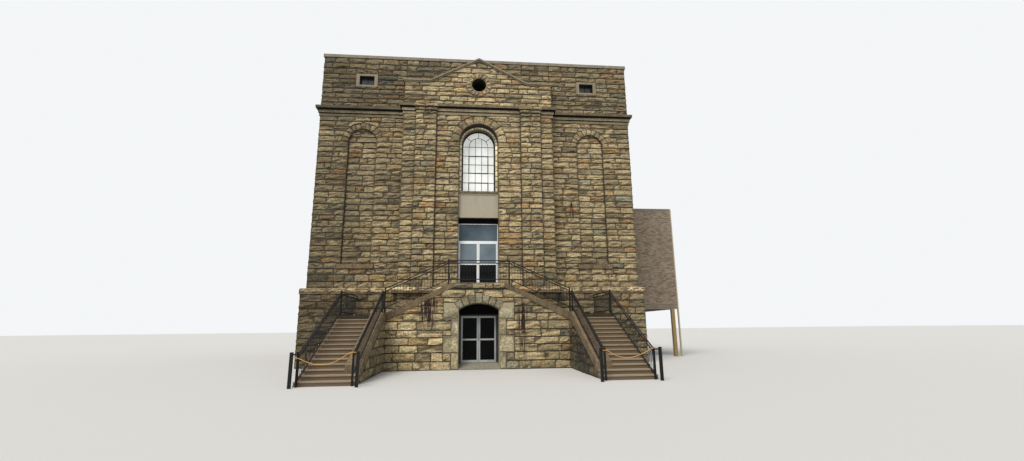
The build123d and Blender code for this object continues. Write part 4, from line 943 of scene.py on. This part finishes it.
def rock_sandstone(name, colours, strength=0.9):
    """Broken sandstone: rough, matt, each block its own colour, darker towards its joints with dirt and
    painted shade.
    """
    made, add, shader, at = new_material(name, 0.92)
    pick, tone, relief, rust = (add("Attribute", out="Fac", attribute_name=key)
                                for key in ("pick", "tone", "relief", "rust"))
    flat = add("Mapping", {"Vector": at, "Scale": BED_SCALE})
    streak, bedded = blotches(add, flat, 1.0, (0.32, 0.68), (0.74, 1.24), 4.0, 0.6)
    grit, speck = blotches(add, at, GRIT_SCALE, (0.33, 0.67), (0.5, 1.5))
    # Darker towards the joints: dirt, and painted shade in the hollows of each face
    joint = add("MapRange", [relief, 0.02, 0.6, 0.16, 1.06])
    ochre = blotches(add, at, OCHRE_SCALE, (0.54, 0.7), (0.0, 0.55), 5.0, 0.62)[1]
    soot = blotches(add, at, SOOT_SCALE, (0.5, 0.72), (0.0, 0.6), 6.0, 0.6)[1]
    runs = add("Mapping", {"Vector": at, "Scale": RUN_SCALE})
    runs = blotches(add, runs, 1.0, (0.4, 0.56), (0.25, 1.9), 3.0, 0.5)[1]
    rust = add("Math", [rust, runs], operation="MULTIPLY", use_clamp=True)
    colour = add("ValToRGB", [pick], stops=colours)
    for share, stain in ((ochre, "#8c6236"), (soot, "#5a513f"), (rust, "#2c150e")):
        colour = add("Mix", [share, colour, linear(stain)])
    colour = shaded(add, colour, bedded, tone, speck, joint, underside_soot_and_shade(add))
    height = streak
    for finer in (grit, add("TexVoronoi", {"Vector": at, "Scale": CHIP_SCALE})):
        height = add("Math", [height, finer], operation="ADD")
    surface(add, shader, colour, height, strength, 0.03)
    return made


rock = rock_sandstone("rock_faced_sandstone", SAND)
light_rock = rock_sandstone("pitched_light_sandstone", LIGHT, 0.5)

# %% [markdown]
# ### Mortar, dressed stone, panel, concrete and roofing
# Behind the stones is the frame's wall, and in the joints it is lime mortar, dark with soot. Dressed and
# cast stone has a fine grain and joints far apart. The joints are drawn by a brick pattern, on x + y and z,
# which works on every upright face of a square building, or on x and y where the surface is level.

# %% Dressed and cast stone
# Weathering clouds are 600 mm, and drips 200 mm wide and 2 m long. Grain is 1 mm, drawn 18 mm wide to show.
CLOUD_SCALE, DRIP_SCALE, GRAIN_SCALE = 1.7, (5.0, 5.0, 0.5), 55.0


def stone_finish(name, colour, dark, wide, high, joint=0.008, grime=0.5, relief=0.4, grain_scale=GRAIN_SCALE,
                 contrast=0.14, level=False):
    """Dressed or cast stone: matt, with a fine grain, joints wide and high apart, and dirt in patches."""
    made, add, shader, at = new_material(name, 0.88)
    pattern = at
    if not level:
        x, y, z = add("SeparateXYZ", [at]).node.outputs
        pattern = add("CombineXYZ", [add("Math", [x, y], operation="ADD"), z])
    lines = add("TexBrick", {"Vector": pattern, "Scale": 1.0, "Mortar Size": joint, "Mortar Smooth": 0.3,
                             "Brick Width": wide, "Row Height": high}, out="Fac")
    grain, speck = blotches(add, at, grain_scale, (0.33, 0.67), (1 - contrast, 1 + contrast), rough=0.6)
    cloud = add("TexNoise", {"Vector": at, "Scale": CLOUD_SCALE, "Detail": 6.0, "Roughness": 0.65})
    drip = add("Mapping", {"Vector": at, "Scale": DRIP_SCALE})
    drip = add("TexNoise", {"Vector": drip, "Scale": 1.0, "Detail": 4.0, "Roughness": 0.6})
    dirt = add("Math", [cloud, drip], operation="MULTIPLY")
    dirt = add("MapRange", [dirt, 0.2, 0.42, 0.0, grime])
    base = add("Mix", [dirt, linear(colour), linear(dark)])
    base = shaded(add, base, speck, underside_soot_and_shade(add))
    shown = add("Math", [lines, 0.75], operation="MULTIPLY")
    base = add("Mix", [shown, base, linear(dark)])
    height = add("Math", [grain, lines], operation="SUBTRACT")
    surface(add, shader, base, height, relief, 0.006)
    return made


NO_JOINT = 9.0
mortar = stone_finish("sooty_lime_mortar", "#4a4131", "#2c261c", 0.8, 0.31, joint=0.012)
dressed = stone_finish("rubbed_sandstone", "#958870", "#544a38", 1.1, NO_JOINT)
copings = stone_finish("sawn_sandstone_coping", "#94897a", "#55503f", 1.2, NO_JOINT)
light_dressed = stone_finish("tooled_light_sandstone", "#aca284", "#7b7158", NO_JOINT, NO_JOINT, grime=0.35)
panel = stone_finish("rendered_panel", "#b3a994", "#998d77", NO_JOINT, NO_JOINT, grime=0.3, relief=0.15)
concrete = stone_finish("worn_cast_concrete", "#8d8876", "#6a6353", 2.4, NO_JOINT, grime=0.6)
band_stone = stone_finish("sawn_brown_sandstone", "#7c6a4f", "#3b3022", 1.6, NO_JOINT, grime=0.85,
                          relief=0.8, grain_scale=15.0, contrast=0.42)
annex_stone = stone_finish("cast_lintel", "#8b8172", "#5e5649", 40.0, 0.14, joint=0.02)
roofing = stone_finish("mineral_roofing_felt", "#5b5852", "#3c3a35", 8.0, 1.0, joint=0.02, level=True)

# %% [markdown]
# ### Cornice
# The cornice is moulded sandstone: two bands washed by rain, black painted shade in the hollows between
# them, and a dark slab on top, sooty and in painted shade. Its colour steps with the height. It is darkest
# at the left, with dirt and a tree's painted shadow, and palest over the middle.

# %% Moulded cornice
# The near-black stops are painted shade in the hollows under the bands and the slab
BANDS_AND_PAINTED_SHADE = [(CORNICE_FOOT, "#8a7d62"), (13.178, "#17130d"), (13.218, "#94876a"), (13.362, "#17130d"),
         (13.452, "#685c45")]
cornice_stone, add, shader, at = new_material("sooty_moulded_sandstone", 0.9)
across, _, high = add("SeparateXYZ", [at]).node.outputs
rise = add("MapRange", [high, CORNICE_FOOT, CORNICE_TOP, 0.0, 1.0])
stops = [((z - CORNICE_FOOT) / (CORNICE_TOP - CORNICE_FOOT), tone) for z, tone in BANDS_AND_PAINTED_SHADE]
base = add("ValToRGB", [rise], stops=stops)
base.node.color_ramp.interpolation = "CONSTANT"
grain, speck = blotches(add, at, GRIT_SCALE, (0.33, 0.67), (0.55, 1.4))
cloud = blotches(add, at, 1.4, (0.35, 0.65), (0.58, 1.1), 6.0)[1]
# Darker to the left, with dirt and a tree's painted shadow, and darker again to the right
left_dirt_and_tree_shadow = add("MapRange", [across, -6.5, -3.0, 0.75, 1.45])
darker_to_right = add("MapRange", [across, 3.5, 5.0, 1.0, 0.78])
base = shaded(add, base, speck, cloud, underside_soot_and_shade(add), left_dirt_and_tree_shadow, darker_to_right)
surface(add, shader, base, grain, 0.6, 0.015)

# %% [markdown]
# ### Steps
# Feet keep the treads and the nosings of cast steps pale, and dirt stays on the risers. The treads and the
# top of each riser are also painted paler, as light from above, and the risers darker below, as painted
# shade. A place's height divided by the rise of a step, without its whole part, says how far up its riser
# it is, so the top of each riser is pale.

# %% Worn steps
# Aggregate is 5 mm, drawn 25 mm wide to show. Wear is in patches of 400 mm.
AGGREGATE_SCALE, WEAR_SCALE = 40.0, 2.6
steps, add, shader, at = new_material("worn_cast_steps", 0.85)
climb = add("Math", [add("SeparateXYZ", [at], out="Z"), RISE], operation="DIVIDE")
climb = add("Math", [climb], operation="FRACT")
# Pale where worn and lit: the top of each riser and every face turned up get painted light as well as wear
pale_wear_and_painted_light = add("MapRange", [climb, 0.72, 0.8, 0.0, 1.0])
pale_wear_and_painted_light = add("Math", [pale_wear_and_painted_light, upward(add)], operation="MAXIMUM")
worn = blotches(add, at, WEAR_SCALE, (0.35, 0.65), (0.55, 1.0), 6.0, 0.7)[1]
pale_wear_and_painted_light = add("Math", [pale_wear_and_painted_light, worn], operation="MULTIPLY")
grain, speck = blotches(add, at, AGGREGATE_SCALE, (0.3, 0.7), (0.8, 1.15))
base = add("Mix", [pale_wear_and_painted_light, linear("#705f4a"), linear("#a3927a")])
surface(add, shader, shaded(add, base, speck), grain, 0.4, 0.006)

# %% [markdown]
# ### Brick
# The annex is built of a fired brick of grey and brown, matt, and a little uneven in colour from its place
# in the kiln. Each brick carries its own pick and tone. Its grain of 2 mm is drawn 11 mm wide.

# %% Fired brick
FIRED = [(0.0, "#7c6957"), (0.35, "#94836f"), (0.7, "#a19280"), (1.0, "#88796b")]
brick, add, shader, at = new_material("fired_grey_brown_brick", 0.85)
pick, tone = (add("Attribute", out="Fac", attribute_name=key) for key in ("pick", "tone"))
grain, speck = blotches(add, at, 90.0, (0.3, 0.7), (0.85, 1.1), 3.0, 0.5)
base = shaded(add, add("ValToRGB", [pick], stops=FIRED), speck, tone)
surface(add, shader, base, grain, 0.3, 0.004)

# %% [markdown]
# ### Paint and iron
# White door frames are aluminium with a satin coat, and railings are wrought iron under many coats of
# black. A coat is even but for dirt in patches of 300 mm. Its spray or brush marks, under 1 mm, are drawn 8
# mm wide.

# %% Coats of paint
SPRAY_SCALE, DIRT_SCALE = 120.0, 3.0


def coated(name, colour, dark, rough, wear=0.4, gloss=0.5):
    """A coat of paint: even colour, faint marks that change its gloss, and dirt in patches."""
    made, add, shader, at = new_material(name, rough, more={"Specular IOR Level": gloss})
    dirt = blotches(add, at, DIRT_SCALE, (0.5, 0.75), (0.0, wear), 6.0)[1]
    marks, dulled = blotches(add, at, SPRAY_SCALE, (0.3, 0.7), (rough - 0.06, rough + 0.1), 2.0, 0.5)
    base = add("Mix", [dirt, linear(colour), linear(dark)])
    surface(add, shader, base, marks, 0.15, 0.001)
    wire(shader, {"Roughness": dulled})
    return made


white_paint = coated("satin_white_coated_aluminium", "#fafbfa", "#c8c8c2", 0.4, 0.15)
# The ground doors are white aluminium, painted grey for the shade of their deep recess
door_paint_in_shade = coated("satin_white_aluminium_in_painted_shade", "#a9acab", "#73756f", 0.4, 0.5)
dark_paint = coated("black_painted_wrought_iron", "#0c0c0e", "#1d1a18", 0.5, 0.6, gloss=0.3)
# The ground door frame is dark aluminium, and dark also for painted shade in the gaps beside the leaves
dark_metal_and_shade = coated("anodised_dark_aluminium_and_painted_shade", "#2b2d2d", "#191816", 0.5)
# The boards over the doors fill the heads of the recesses, and their near black is painted shade
painted_shade_board = coated("board_of_painted_shade", "#070606", "#100e0c", 0.7, gloss=0.08)
post_paint = coated("ochre_painted_post", "#937c4b", "#65542f", 0.5)
pipe_paint = coated("cream_painted_zinc", "#b3a487", "#84775c", 0.45)

# %% [markdown]
# ### Glass
# The great window's glass is bright because it mirrors a pale sky, and the door glass is dark because the
# room behind is. So a pane is a smooth coat over the colours of what it mirrors or hides, in bands by
# height. Clouds in it are 1.1 m wide, and old glass is wavy, with 600 mm from wave to wave.

# %% Window glass
UPPER_RAIL, UPPER_TRANSOM = 5.03, 6.13


def pane(name, bands, rough, gloss=0.5, glow=0.0):
    """Glass from outside. Each band: the height where it starts, its darker and its lighter colour."""
    made, add, shader, at = new_material(name, rough, 1.52,
                                         {"Specular IOR Level": gloss, "Emission Strength": glow})
    cloud = add("TexNoise", {"Vector": at, "Scale": 0.9, "Detail": 3.0})
    high = add("SeparateXYZ", [at], out="Z")
    base = linear(bands[0][1])
    for level, dark, light in bands:
        shown = add("ValToRGB", [cloud], stops=[(0.35, dark), (0.65, light)])
        over = add("Math", [high, level], operation="GREATER_THAN")
        base = add("Mix", [over, base, shown])
    wave = add("TexNoise", {"Vector": at, "Scale": 1.6, "Detail": 1.0})
    surface(add, shader, base, wave, 0.05, 0.02)
    # A glow gives off the glass's own colour: a painted glow for the bright sky that it mirrors
    if glow:
        wire(shader, {"Emission Color": base})
    return made


sky_glass = pane("old_window_glass_with_painted_sky", [(0.0, "#3e464b", "#7d878c"), (TALL_FOOT, "#dcdfdb", "#f4f5f1"),
                                      (CORNICE_TOP, "#1d1f20", "#33373a")], 0.12, glow=0.3)
dark_glass = pane("dark_door_glass", [(0.0, "#050607", "#0c0d0e")], 0.06, gloss=0.05)
upper_glass = pane("upper_door_glass", [(0.0, "#08090a", "#121415"), (UPPER_RAIL, "#65737b", "#84919a"),
                                        (UPPER_TRANSOM, "#47545c", "#64717a")], 0.08, gloss=0.12)

# %% [markdown]
# ### Rope
# The ropes are twisted from synthetic fibre, yellow and orange. The yarns are under 1 mm, drawn 4 mm wide.

# %% Rope fibre
rope_fibre, add, shader, at = new_material("laid_orange_polypropylene", 0.6, 1.49)
fine = add("TexNoise", {"Vector": at, "Scale": 260.0, "Detail": 2.0})
base = add("ValToRGB", [fine], stops=[(0.3, "#bd8336"), (0.7, "#e6b264")])
surface(add, shader, base, fine, 0.5, 0.001)

# %% [markdown]
# ### Giving each piece its finish
# The frame's own nodes keep their meshes and only change material, and the new pieces take their first one.
# A dictionary from material to names makes the choice easy to read and to change.

# %% Finishes of the frame's nodes and of the new pieces
finishes = {
    rock: "front_wall_stones pavilion_stones right_wall_stones left_wall_stones rear_wall_stones "
          "podium_stones string_course_stones",
    light_rock: "entrance_stone_faces window_reveal_blocks",
    mortar: "front_wall_left front_wall_right left_wall right_wall rear_wall pavilion_piers pavilion_arch "
            "pavilion_gable podium entrance_wall cheek_walls middle_landings pilasters annex_walls",
    dressed: "gable_moulding attic_surrounds",
    cornice_stone: "cornice",
    copings: "coping",
    band_stone: "cheek_copings landing_slab string_course stone_sills entrance_voussoirs",
    light_dressed: "bay_reveal entrance_quoins",
    panel: "bay_panel",
    steps: "upper_flights lower_flights",
    concrete: "ground_floor upper_floors",
    roofing: "roof_deck",
    annex_stone: "annex_slabs",
    brick: "annex_bricks",
    post_paint: "annex_posts",
    pipe_paint: "annex_downpipe",
    white_paint: "upper_door_frame upper_door_leaves",
    door_paint_in_shade: "ground_door_left ground_door_right",
    dark_metal_and_shade: "ground_door_frame",
    dark_paint: "oculus_vent landing_railing stair_railings window_frames window_bars wall_anchor",
    painted_shade_board: "upper_door_head ground_door_head",
    sky_glass: "window_glass",
    upper_glass: "upper_door_glass",
    dark_glass: "ground_door_left_glass ground_door_right_glass",
    rope_fibre: "rope_right_laid rope_left_laid",
}
for finish, names in finishes.items():
    for name in names.split():
        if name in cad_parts:
            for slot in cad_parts[name].material_slots:
                slot.material = finish
        else:
            bpy.data.objects[name].data.materials.append(finish)
print("finishes:", len(finishes))

# %% [markdown]
# ## Floor and light
# The day was overcast: light from the whole sky, a little more from high on the left, in front of the
# building. A wide sun and an even world give that. The floor and the background are pale, and only the
# camera, mirrors and glass see the background's white.

# %% A pale floor
FLOOR_HALF, FLOOR_Z = 400.0, -0.002
corners = [(x * FLOOR_HALF, y * FLOOR_HALF, FLOOR_Z) for x, y in ((-1, -1), (1, -1), (1, 1), (-1, 1))]
floor_mesh = bpy.data.meshes.new("floor")
floor_mesh.from_pydata(corners, [], [(0, 1, 2, 3)])
floor_material, _, shader, _ = new_material("pale_floor", 0.9)
shader.inputs["Base Color"].default_value = linear("#cfcdc8")
floor_mesh.materials.append(floor_material)
floor = bpy.data.objects.new("floor", floor_mesh)
bpy.context.collection.objects.link(floor)

# %% Sky and sun
SKY_STRENGTH, SUN_STRENGTH, SUN_WIDTH = 0.62, 2.6, 28
world = bpy.data.worlds.new("overcast")
bpy.context.scene.world = world
world.use_nodes = True
world.node_tree.nodes.clear()
add = partial(add_node, world.node_tree)
rays = add("LightPath").node.outputs
seen = add("Math", [rays["Is Camera Ray"], rays["Is Transmission Ray"]], operation="MAXIMUM")
seen = add("Math", [seen, rays["Is Glossy Ray"]], operation="MAXIMUM")
sky = add("Background", {"Color": linear("#dfe6ee"), "Strength": SKY_STRENGTH})
white = add("Background", {"Color": linear("#f4f6f8"), "Strength": 1.0})
shown = add("MixShader", [seen, sky, white])
wire(world.node_tree.nodes.new("ShaderNodeOutputWorld"), {"Surface": shown})
sun = bpy.data.objects.new("sun", bpy.data.lights.new("sun", "SUN"))
sun.data.energy = SUN_STRENGTH
sun.data.angle = radians(SUN_WIDTH)
sun.data.color = (1.0, 0.97, 0.92)
sun.rotation_euler = Vector((0.35, 0.62, -1.0)).to_track_quat("-Z", "Y").to_euler()
bpy.context.collection.objects.link(sun)
bpy.context.scene.view_settings.view_transform = "Standard"
